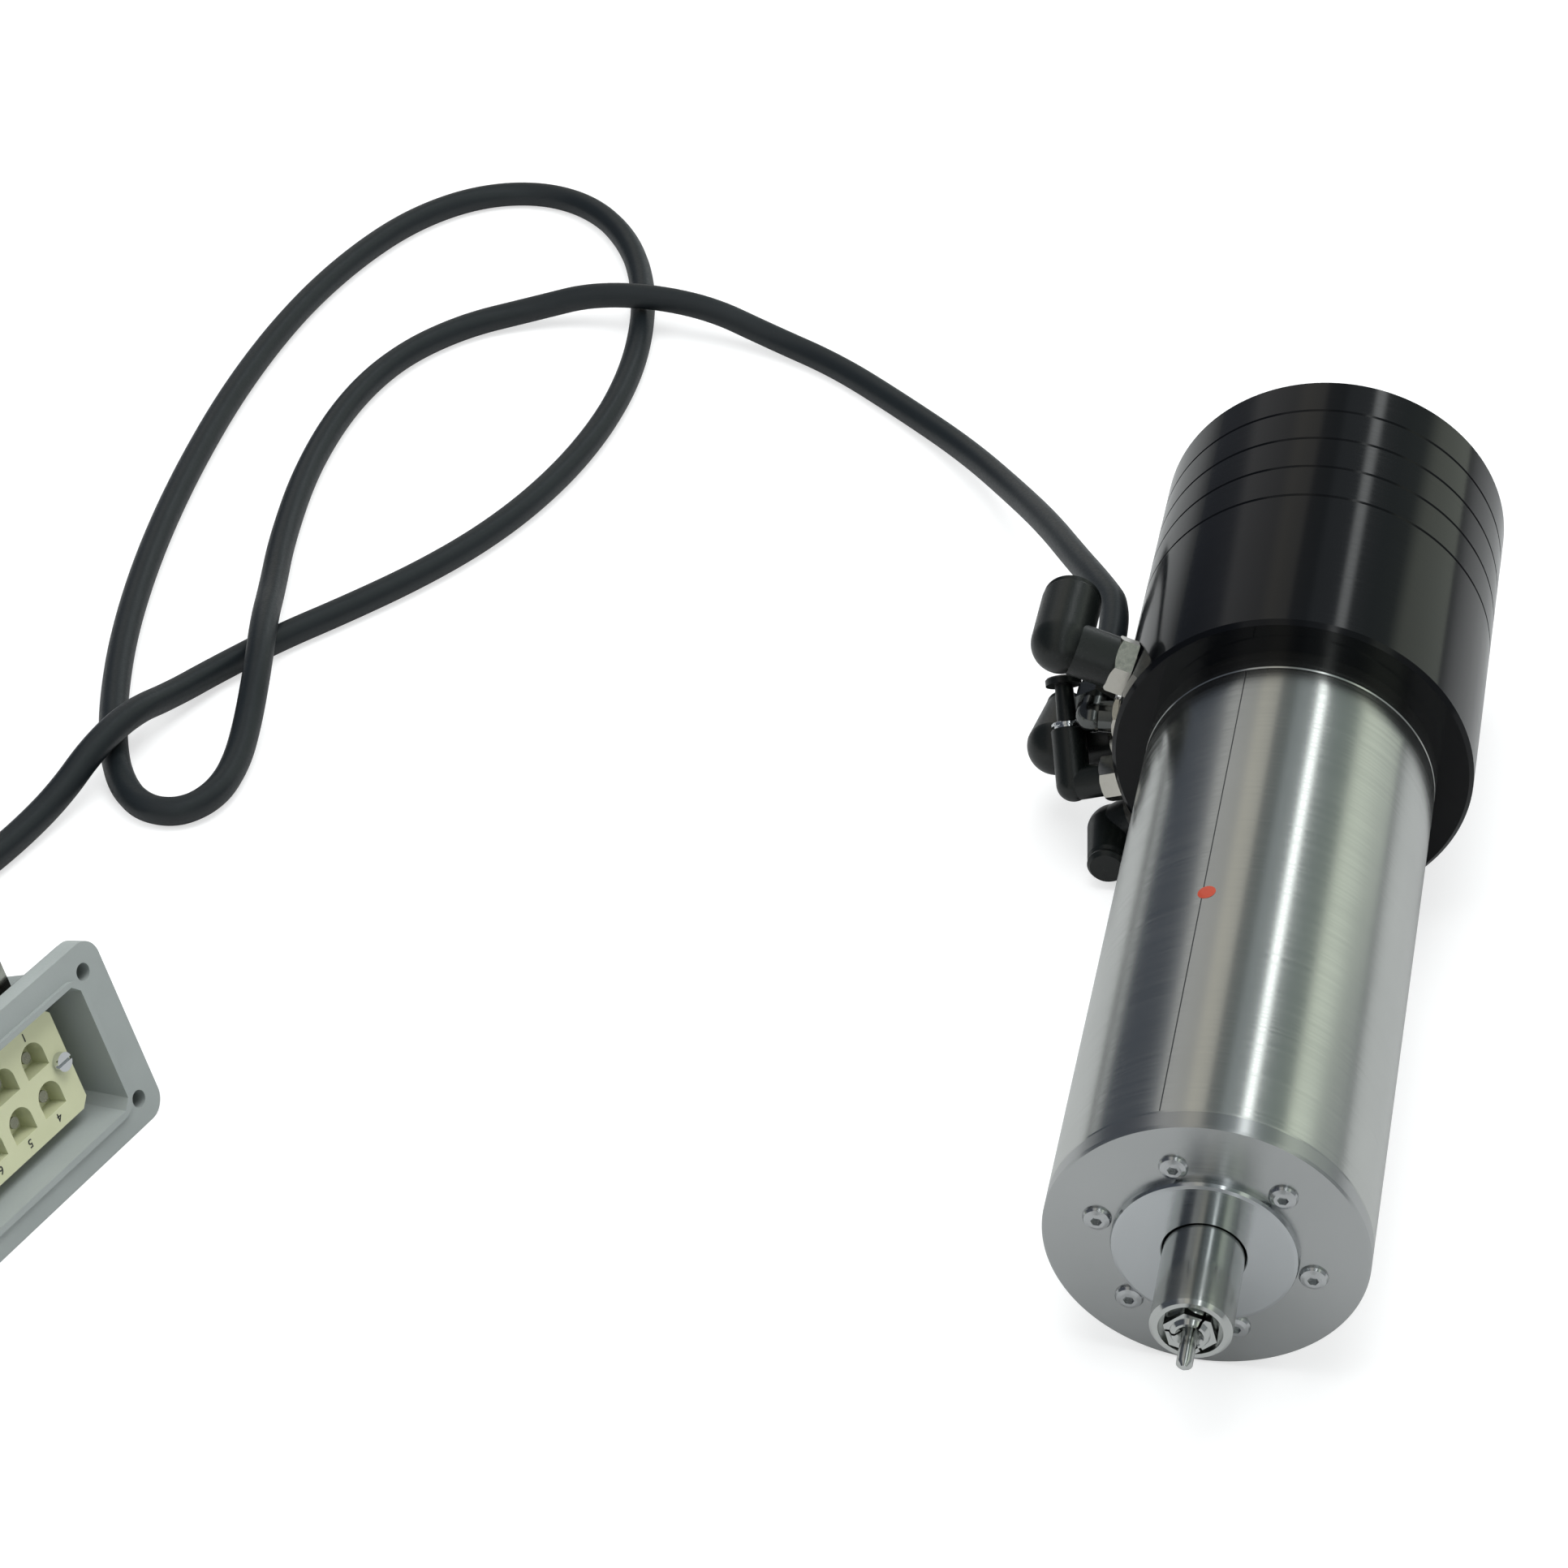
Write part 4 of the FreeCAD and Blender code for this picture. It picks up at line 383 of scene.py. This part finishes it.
INK = Finish("black_ink", "#26282A", "#303234", Pattern.GRAIN, 0.4, 0.0, 0.5, 0.05, 0.003)


def dress(names: dict[str, Finish]) -> None:
    """Give CAD nodes their finishes.

    Args:
        names: Each node's finish by the node's name.
    """
    for name, finish in names.items():
        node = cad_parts[name]
        material = finish.build()
        if not node.material_slots:
            node.data.materials.append(material)
        for slot in node.material_slots:
            slot.material = material
        log.info("node %s in %s", name, finish.name)


def spindle_point(radius: float, angle: float, station: float) -> Vector:
    """Find a point by the spindle's own coordinates.

    Args:
        radius: Distance from the axis in millimetres.
        angle: Degrees from the fittings' side, upwards.
        station: Millimetres behind the front face.

    Returns:
        The point in the part's frame, in metres.
    """
    turn = math.radians(angle)
    side, up = radius * math.cos(turn), radius * math.sin(turn)
    along = station - CLAMP_MIDDLE
    y = -up * math.sin(TILT) + along * math.cos(TILT)
    z = up * math.cos(TILT) + along * math.sin(TILT)
    return Vector((-side, y, z)) * MM


def add_mesh(
    name: str, points: list[Vector], faces: list[tuple[int, ...]], finish: Finish
) -> bpy.types.Object:
    """Make a mesh object with a finish and smooth faces.

    Args:
        name: The piece's name.
        points: Corners in the part's frame, in metres.
        faces: Corner numbers of each face.
        finish: The surface.

    Returns:
        The new object, in the scene.
    """
    mesh = bpy.data.meshes.new(name)
    mesh.from_pydata([tuple(point) for point in points], [], faces)
    mesh.polygons.foreach_set("use_smooth", [True] * len(mesh.polygons))
    piece = bpy.data.objects.new(name, mesh)
    piece.data.materials.append(finish.build())
    bpy.context.scene.collection.objects.link(piece)
    return piece


@dataclass
class ClampingBody:
    """The bright tube that a clamp holds, with its front cap, nose and cap screws."""

    radius: float = TUBE_RADIUS
    line_angle: float = 70.0
    line_width: float = 0.28
    # The line's ends, in millimetres behind the front face, and its number of steps
    line_start: float = 5.7
    line_end: float = 180.0
    line_steps: int = 14
    dot_angle: float = 71.5
    dot_station: float = 86.4
    dot_radius: float = 2.4
    dot_rings: int = 4
    dot_sides: int = 24
    # How far the line and the dot's rim stand off the tube, and the dot's thicker middle
    proud: float = 0.03
    dot_swell: float = 0.12
    finishes: dict[str, Finish] = field(
        default_factory=lambda: {
            "jacket": TURNED_STAINLESS,
            "rear_bearing_holder": TURNED_STAINLESS,
            "front_cap": FACED_STAINLESS,
            "nose_cover": POLISHED_STEEL,
            "cap_screws": SCREW_STEEL,
            "shaft": GROUND_STEEL,
            "collet": GROUND_STEEL,
            "tool_shank": GROUND_STEEL,
        }
    )

    def build(self) -> None:
        """Dress the nodes and add the scribed line and the red setting dot."""
        dress(self.finishes)
        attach(self._scribed_line(), "stator")
        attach(self._setting_dot(), "stator")

    def _scribed_line(self) -> bpy.types.Object:
        """Make the hairline along the tube.

        Returns:
            The line's mesh object.
        """
        half = math.degrees(self.line_width / 2 / self.radius)
        points, faces = [], []
        for step in range(self.line_steps + 1):
            station = self.line_start + (self.line_end - self.line_start) * step / self.line_steps
            for angle in (self.line_angle - half, self.line_angle + half):
                points.append(spindle_point(self.radius + self.proud, angle, station))
            if step:
                corner = 2 * step
                faces.append((corner - 2, corner - 1, corner + 1, corner))
        log.info("piece body_line")
        return add_mesh("body_line", points, faces, SCRIBED_LINE)

    def _setting_dot(self) -> bpy.types.Object:
        """Make the red dot, laid on the tube's curve and thicker in its middle.

        Returns:
            The dot's mesh object.
        """
        rings, sides = self.dot_rings, self.dot_sides
        top = self.radius + self.proud + self.dot_swell
        points = [spindle_point(top, self.dot_angle, self.dot_station)]
        faces = []
        for ring in range(1, rings + 1):
            reach = self.dot_radius * ring / rings
            height = self.proud + self.dot_swell * (1 - (ring / rings) ** 3)
            for side in range(sides):
                turn = 2 * math.pi * side / sides
                angle = self.dot_angle + math.degrees(reach * math.cos(turn) / self.radius)
                station = self.dot_station + reach * math.sin(turn)
                points.append(spindle_point(self.radius + height, angle, station))
        for side in range(sides):
            after = (side + 1) % sides
            faces.append((0, 1 + side, 1 + after))
            for ring in range(1, rings):
                inner, outer = 1 + (ring - 1) * sides, 1 + ring * sides
                faces.append((inner + side, outer + side, outer + after, inner + after))
        log.info("piece setting_dot")
        return add_mesh("setting_dot", points, faces, RED_PAINT)


@dataclass
class BlackHead:
    """The black tool-change cylinder: its housing, stage rings, cover and long screws."""

    stages: int = 3

    def build(self) -> None:
        """Dress the head's nodes."""
        names = {
            "cylinder_housing": BLACK_ANODISED,
            "rear_cover": BLACK_ANODISED,
            "tie_screws": SCREW_STEEL,
        }
        for stage in range(1, self.stages + 1):
            names[f"stage_ring_{stage}"] = BLACK_ANODISED
            names[f"piston_{stage}"] = CAST_ALUMINIUM
        names["piston_seals"] = NITRILE_RUBBER
        names["push_rod"] = GROUND_STEEL
        dress(names)


@dataclass
class Fittings:
    """Hose elbows, the air fitting and the cable gland on the head's side."""

    finishes: dict[str, Finish] = field(
        default_factory=lambda: {
            "upper_coolant_nut": NICKEL_PLATE,
            "upper_coolant_elbow": MOULDED_NYLON,
            "lower_coolant_nut": NICKEL_PLATE,
            "lower_coolant_elbow": MOULDED_NYLON,
            "drain_nut": NICKEL_PLATE,
            "drain_elbow": MOULDED_NYLON,
            "air_fitting_base": NICKEL_PLATE,
            "air_elbow": MOULDED_NYLON,
            "release_collar": CHROME_PLATE,
            "blanking_plug": MOULDED_NYLON,
            "cable_gland_base": NICKEL_PLATE,
            # The gland's body has painted shade: darkened nickel standing in for the dark room it
            # mirrors
            "cable_gland": NICKEL_PAINTED_SHADE,
            "strain_relief": MOULDED_NYLON,
        }
    )

    def build(self) -> None:
        """Dress the fittings' nodes."""
        dress(self.finishes)


@dataclass
class InnerWorks:
    """What is inside the tube: bearings, motor, drawbar and springs."""

    finishes: dict[str, Finish] = field(
        default_factory=lambda: {
            "front_bearing_housing": CAST_ALUMINIUM,
            "cooling_sleeve": CAST_ALUMINIUM,
            "sleeve_seals": NITRILE_RUBBER,
            "front_bearing_outer_rings": GROUND_STEEL,
            "front_bearing_inner_rings": GROUND_STEEL,
            "front_bearing_cages": CAGE_BRASS,
            "rear_bearing_outer_rings": GROUND_STEEL,
            "rear_bearing_inner_rings": GROUND_STEEL,
            "rear_bearing_cages": CAGE_BRASS,
            "bearing_retainers": GROUND_STEEL,
            "stator_core": LAMINATED_STEEL,
            "stator_winding": COPPER_WINDING,
            "rotor_core": LAMINATED_STEEL,
            "front_shaft_nut": GROUND_STEEL,
            "rear_shaft_nut": GROUND_STEEL,
            "encoder_wheel": GROUND_STEEL,
            "speed_sensor": MOULDED_NYLON,
            "drawbar": GROUND_STEEL,
            "front_disc_springs": SPRING_STEEL,
            "rear_disc_springs": SPRING_STEEL,
        }
    )

    def build(self) -> None:
        """Dress the inner nodes."""
        dress(self.finishes)


@dataclass
class Connector:
    """The rectangular connector on the cable's end, in its own axes from the flange's corner."""

    # The flange's corner on the table in millimetres, its direction and how far it leans in degrees
    corner: tuple[float, float] = (-281.0, -52.0)
    heading: float = -107.9
    lean: float = 20.0
    # The insert's middle along and up the flange, and its face's depth in the mouth
    middle: tuple[float, float] = (42.0, 29.25)
    chamber_pitch: float = 12.0
    columns: int = 3
    recess: float = 5.0
    # The numbers' size, how far their rows lie from the middle, and how they stand on the face
    numeral_height: float = 3.4
    numeral_row: float = 11.2
    numeral_shift: float = 0.7
    numeral_rise: float = 0.06
    numeral_half_thickness: float = 0.05
    # Where the cable's end is inside the gland: along, up and into the connector
    cable_end: tuple[float, float, float] = (30.0, 68.5, 20.0)
    finishes: dict[str, Finish] = field(
        default_factory=lambda: {
            "connector_shell": GREY_PLASTIC,
            "connector_insert": CREAM_PLASTIC,
            "connector_contacts": TINNED_CONTACT,
            "insert_screws": CHROME_PLATE,
            "flange_gasket": NITRILE_RUBBER,
            "connector_gland": NICKEL_PLATE,
        }
    )

    def axes(self) -> tuple[Vector, Vector, Vector]:
        """Find the connector's own directions.

        Returns:
            The directions along the flange, up the flange and out of the mouth.
        """
        turn, lean = math.radians(self.heading), math.radians(self.lean)
        along = Vector((math.cos(turn), math.sin(turn), 0.0))
        away = Vector((math.sin(turn), -math.cos(turn), 0.0))
        upward = away * math.sin(lean) + Vector((0.0, 0.0, math.cos(lean)))
        return along, upward, upward.cross(along)

    def point(self, x: float, y: float, depth: float) -> Vector:
        """Find a point by the connector's own coordinates.

        Args:
            x: Millimetres along the flange from its corner.
            y: Millimetres up the flange.
            depth: Millimetres into the mouth.

        Returns:
            The point in the part's frame, in metres.
        """
        along, upward, outward = self.axes()
        corner = Vector((self.corner[0] * MM, self.corner[1] * MM, TABLE))
        return corner + (along * x + upward * y - outward * depth) * MM

    def build(self) -> list[bpy.types.Object]:
        """Dress the nodes and print the contact numbers.

        Returns:
            The numbers, which lie on the cable with the connector.
        """
        dress(self.finishes)
        along, upward, outward = self.axes()
        # The connector lies the other way up, so its numbers are upside down here
        turn = Matrix((along, -upward, outward)).transposed().to_4x4()
        upper_row = self.numeral_row + self.numeral_height * self.numeral_shift
        numerals = []
        for row, height in enumerate((upper_row, -self.numeral_row)):
            for column in range(self.columns):
                x = self.middle[0] + self.chamber_pitch * (column - 1)
                number = row * self.columns + column + 1
                letter = bpy.data.curves.new(f"contact_number_{number}", "FONT")
                letter.body = str(number)
                letter.size = self.numeral_height * MM
                letter.align_x = "CENTER"
                letter.extrude = self.numeral_half_thickness * MM
                piece = bpy.data.objects.new(letter.name, letter)
                place = self.point(x, self.middle[1] + height, self.recess - self.numeral_rise)
                piece.matrix_world = Matrix.Translation(place) @ turn
                letter.materials.append(INK.build())
                bpy.context.scene.collection.objects.link(piece)
                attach(piece, "stator")
                numerals.append(piece)
                log.info("piece %s", piece.name)
        return numerals


@dataclass
class PowerCable:
    """The free cable from the gland on the head to the connector, lying in loops on the table."""

    radius: float = 4.3
    length: float = 1830.0
    # The spline's order, and its steps between two points and around a quarter
    order: int = 3
    steps_along: int = 10
    steps_round: int = 6
    # Where it leaves the strain relief: distance from the axis, angle and station
    start: tuple[float, float, float] = (57.5, -3.0, 236.0)
    # Each point's place on the table, and how far the cable's underside lies above the table there
    route: tuple[tuple[float, float, float], ...] = (
        (-57.42, 161.0, 46.2),
        (-65.5, 179.5, 42.0),
        (-76.0, 204.0, 34.5),
        (-89.0, 237.0, 24.0),
        (-105.0, 272.5, 12.0),
        (-127.0, 310.0, 2.5),
        (-154.0, 337.5, 0.0),
        (-180.0, 359.0, 0.0),
        (-205.0, 371.0, 1.4),
        (-232.0, 376.0, 9.1),
        (-267.0, 377.0, 9.1),
        (-292.0, 372.0, 1.8),
        (-313.0, 359.0, 0.0),
        (-329.0, 334.0, 0.0),
        (-337.0, 301.0, 0.0),
        (-338.0, 259.0, 0.0),
        (-333.0, 216.0, 0.0),
        (-326.0, 184.0, 2.4),
        (-319.5, 157.0, 9.1),
        (-314.0, 134.0, 9.1),
        (-311.0, 113.0, 2.4),
        (-309.0, 95.0, 0.0),
        (-310.0, 79.0, 0.0),
        (-317.0, 68.5, 0.0),
        (-328.0, 68.0, 0.0),
        (-338.0, 77.0, 0.0),
        (-347.0, 94.0, 0.0),
        (-356.0, 120.0, 0.0),
        (-365.0, 156.0, 0.0),
        (-372.0, 201.0, 0.0),
        (-376.0, 250.0, 0.0),
        (-377.0, 304.0, 0.0),
        (-373.0, 356.0, 0.0),
        (-364.0, 398.0, 0.0),
        (-351.0, 431.0, 0.0),
        (-332.0, 453.0, 0.0),
        (-309.0, 460.0, 0.0),
        (-287.0, 451.0, 0.0),
        (-268.5, 427.0, 0.0),
        (-256.0, 394.0, 0.0),
        (-249.0, 355.0, 0.0),
        (-248.0, 319.0, 0.0),
        (-252.0, 285.0, 0.0),
        (-260.0, 254.0, 0.0),
        (-271.0, 227.0, 0.0),
        (-285.0, 203.0, 0.0),
        (-301.0, 181.0, 0.0),
        (-317.0, 161.0, 0.0),
        (-330.0, 141.0, 0.0),
        (-338.0, 121.0, 2.8),
        (-343.0, 102.0, 9.1),
        (-348.0, 83.0, 9.1),
        (-353.5, 66.0, 2.4),
        (-360.0, 46.0, 0.0),
        (-367.0, 25.0, 0.3),
        (-374.0, 7.0, 3.0),
        (-381.0, -11.0, 10.5),
        (-388.0, -30.0, 25.0),
        (-392.0, -49.0, 47.0),
        (-390.0, -58.5, 72.0),
        (-377.2, -61.5, 88.0),
        (-357.5, -62.9, 91.6),
        (-340.2, -64.4, 81.4),
    )

    def build(self, end: Vector, on_it: list[bpy.types.Object]) -> bpy.types.Object:
        """Lay the cable as one smooth spline.

        Args:
            end: Where it goes into the connector's gland.
            on_it: Pieces that lie on the cable with the connector; not used.

        Returns:
            The cable.
        """
        start = spindle_point(*self.start)
        rest = TABLE + self.radius * MM
        places = [Vector((x * MM, y * MM, rest + lift * MM)) for x, y, lift in self.route]
        points = [start, *places, end]
        curve = bpy.data.curves.new("power_cable_sheath", "CURVE")
        curve.dimensions = "3D"
        curve.bevel_depth = self.radius * MM
        curve.bevel_resolution = self.steps_round
        curve.resolution_u = self.steps_along
        curve.use_fill_caps = True
        spline = curve.splines.new("NURBS")
        spline.points.add(len(points) - 1)
        for control, point in zip(spline.points, points):
            control.co = (*point, 1.0)
        spline.order_u = self.order
        spline.use_endpoint_u = True
        curve.materials.append(CABLE_SHEATH.build())
        cable = bpy.data.objects.new("power_cable_sheath", curve)
        bpy.context.scene.collection.objects.link(cable)
        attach(cable, "stator")
        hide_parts("power_cable")
        ends = [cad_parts[name] for name in Connector().finishes]
        log.info("piece %s", cable.name)
        return cable


@dataclass
class Studio:
    """The pale table, the soft lamps, the room and the camera."""

    # The camera's place in metres, its right and its line of sight, and its lens in millimetres
    camera_place: tuple[float, float, float] = (0.04905, -0.8235, 0.6637)
    right: tuple[float, float, float] = (0.9788, 0.2051, 0.0)
    forward: tuple[float, float, float] = (-0.1655, 0.7898, -0.5906)
    focal_length: float = 93.17
    sensor_width: float = 36.0
    near_clip: float = 0.05
    # Half the table's length in metres, and its gap under the object
    table_reach: float = 6.0
    table_gap: float = 0.0001
    # How far the table is brightened for the eye, and the share of that which bright metal shows
    table_glow: float = 0.62
    table_glow_in_metal: float = 0.05
    # How strongly the room lights surfaces that aren't mirrors
    room_light: float = 0.5
    # Soft strips of light across the room, from its left at 0 to its right at 1, each with its
    # red, green and blue. Only mirroring surfaces show them.
    strips: tuple[tuple[float, float, float, float], ...] = (
        (0.0, 0.10, 0.11, 0.13),
        (0.2, 0.08, 0.09, 0.11),
        (0.235, 0.20, 0.21, 0.23),
        (0.25, 0.52, 0.52, 0.52),
        (0.33, 0.44, 0.44, 0.43),
        (0.36, 0.60, 0.58, 0.52),
        (0.415, 0.52, 0.51, 0.47),
        (0.43, 0.20, 0.21, 0.21),
        (0.48, 0.17, 0.19, 0.19),
        (0.5, 0.30, 0.33, 0.34),
        (0.575, 0.34, 0.37, 0.38),
        (0.588, 2.6, 2.7, 2.7),
        (0.606, 2.6, 2.7, 2.7),
        (0.62, 0.34, 0.37, 0.37),
        (0.68, 0.24, 0.28, 0.27),
        (0.735, 0.26, 0.30, 0.28),
        (0.76, 0.86, 0.93, 0.80),
        (0.81, 0.80, 0.87, 0.77),
        (0.83, 0.36, 0.39, 0.38),
        (0.95, 0.3, 0.32, 0.33),
    )

    def build(self) -> None:
        """Make the table, the lamps, the world and the camera."""
        self._camera()
        self._table()
        self._lamps()
        self._world()

    def _camera(self) -> None:
        """Set the camera at the photograph's viewing angle."""
        data = bpy.data.cameras.new("view")
        data.lens = self.focal_length
        data.sensor_width = self.sensor_width
        data.clip_start = self.near_clip
        camera = bpy.data.objects.new("view", data)
        right, forward = Vector(self.right).normalized(), Vector(self.forward).normalized()
        upward = right.cross(forward)
        turn = Matrix((right, upward, -forward)).transposed().to_4x4()
        camera.matrix_world = Matrix.Translation(self.camera_place) @ turn
        bpy.context.scene.collection.objects.link(camera)
        bpy.context.scene.camera = camera

    def _table(self) -> None:
        """Lay a plain white table, brightened for the camera and for reflections."""
        material = bpy.data.materials.new("white_table")
        material.use_nodes = True
        tree = material.node_tree
        tree.nodes.clear()
        surface = add_node(
            tree,
            "ShaderNodeBsdfPrincipled",
            values={"Base Color": linear("#B4B6B6"), "Roughness": 0.7, "Specular IOR Level": 0.2},
        )
        path = add_node(tree, "ShaderNodeLightPath")
        seen = add_node(
            tree,
            "ShaderNodeMath",
            settings={"operation": "MAXIMUM"},
            links={0: path.outputs["Is Camera Ray"], 1: path.outputs["Is Transmission Ray"]},
        )
        level = add_node(
            tree,
            "ShaderNodeMath",
            settings={"operation": "MULTIPLY_ADD"},
            values={1: self.table_glow_in_metal},
            links={0: path.outputs["Is Glossy Ray"], 2: seen.outputs["Value"]},
        )
        strength = add_node(
            tree,
            "ShaderNodeMath",
            settings={"operation": "MULTIPLY"},
            values={1: self.table_glow},
            links={0: level.outputs["Value"]},
        )
        glow = add_node(
            tree,
            "ShaderNodeEmission",
            values={"Color": linear("#FFFFFF")},
            links={"Strength": strength.outputs["Value"]},
        )
        both = add_node(
            tree,
            "ShaderNodeAddShader",
            links={0: surface.outputs["BSDF"], 1: glow.outputs["Emission"]},
        )
        add_node(tree, "ShaderNodeOutputMaterial", links={"Surface": both.outputs["Shader"]})
        mesh = bpy.data.meshes.new("table")
        reach = self.table_reach
        height = TABLE - self.table_gap
        corners = [(x * reach, y * reach, height) for x, y in ((-1, -1), (1, -1), (1, 1), (-1, 1))]
        mesh.from_pydata(corners, [], [(0, 1, 2, 3)])
        mesh.materials.append(material)
        table = bpy.data.objects.new("table", mesh)
        bpy.context.scene.collection.objects.link(table)

    def _lamps(self) -> None:
        """Hang three soft boxes: one above, one at each side.

        The room's strips stand in for them in mirroring surfaces, so these don't show there.
        """
        # Each lamp's name, place, the point it faces, its two sides in metres and its watts
        lamps = (
            ("top_box", (-0.1, 0.15, 1.1), (0.0, 0.1, 0.0), (1.1, 0.7), 11.0),
            ("left_box", (-1.1, -0.5, 0.8), (0.0, 0.0, 0.0), (0.7, 1.0), 7.0),
            ("right_box", (1.1, 0.1, 0.6), (0.0, 0.1, 0.0), (0.5, 1.2), 6.0),
        )
        for name, place, target, size, power in lamps:
            data = bpy.data.lights.new(name, "AREA")
            data.shape = "RECTANGLE"
            data.size, data.size_y = size
            data.energy = power
            lamp = bpy.data.objects.new(name, data)
            lamp.visible_glossy = False
            lamp.location = place
            sight = Vector(target) - Vector(place)
            lamp.rotation_euler = sight.to_track_quat("-Z", "Y").to_euler()
            bpy.context.scene.collection.objects.link(lamp)

    def _world(self) -> None:
        """Surround the table with white for the eye, and with strips of light for bright metal."""
        world = bpy.data.worlds.new("studio")
        world.use_nodes = True
        tree = world.node_tree
        tree.nodes.clear()
        path = add_node(tree, "ShaderNodeLightPath")
        place = add_node(tree, "ShaderNodeTexCoord")
        parts = add_node(
            tree, "ShaderNodeSeparateXYZ", links={"Vector": place.outputs["Generated"]}
        )
        across = add_node(
            tree,
            "ShaderNodeMapRange",
            values={"From Min": -1.0, "From Max": 1.0},
            links={"Value": parts.outputs["X"]},
        )
        strips = add_node(tree, "ShaderNodeValToRGB", links={"Fac": across.outputs["Result"]})
        ramp = strips.color_ramp
        ramp.interpolation = "LINEAR"
        # A new ramp has a stop at 0 and one at 1: the first is used and the last taken out
        for spot, *shade in self.strips:
            stop = ramp.elements[0] if spot == 0.0 else ramp.elements.new(spot)
            stop.color = (*shade, 1.0)
        ramp.elements.remove(ramp.elements[len(ramp.elements) - 1])
        fill = add_node(
            tree,
            "ShaderNodeBackground",
            values={"Color": linear("#F6F8FA"), "Strength": self.room_light},
        )
        shine = add_node(
            tree,
            "ShaderNodeBackground",
            values={"Strength": 1.0},
            links={"Color": strips.outputs["Color"]},
        )
        white = add_node(
            tree,
            "ShaderNodeBackground",
            values={"Color": linear("#FFFFFF"), "Strength": 1.0},
        )
        mirrored = add_node(
            tree,
            "ShaderNodeMixShader",
            links={
                0: path.outputs["Is Glossy Ray"],
                1: fill.outputs["Background"],
                2: shine.outputs["Background"],
            },
        )
        seen = add_node(
            tree,
            "ShaderNodeMath",
            settings={"operation": "MAXIMUM"},
            links={0: path.outputs["Is Camera Ray"], 1: path.outputs["Is Transmission Ray"]},
        )
        choice = add_node(
            tree,
            "ShaderNodeMixShader",
            links={
                0: seen.outputs["Value"],
                1: mirrored.outputs["Shader"],
                2: white.outputs["Background"],
            },
        )
        add_node(tree, "ShaderNodeOutputWorld", links={"Surface": choice.outputs["Shader"]})
        bpy.context.scene.world = world
        bpy.context.scene.view_settings.view_transform = "Standard"


def main() -> None:
    """Build the studio and the spindle."""
    Studio().build()
    connector = Connector()
    numerals = connector.build()
    PowerCable().build(connector.point(*connector.cable_end), numerals)
    ClampingBody().build()
    BlackHead().build()
    Fittings().build()
    InnerWorks().build()


if __name__ == "__main__":
    main()
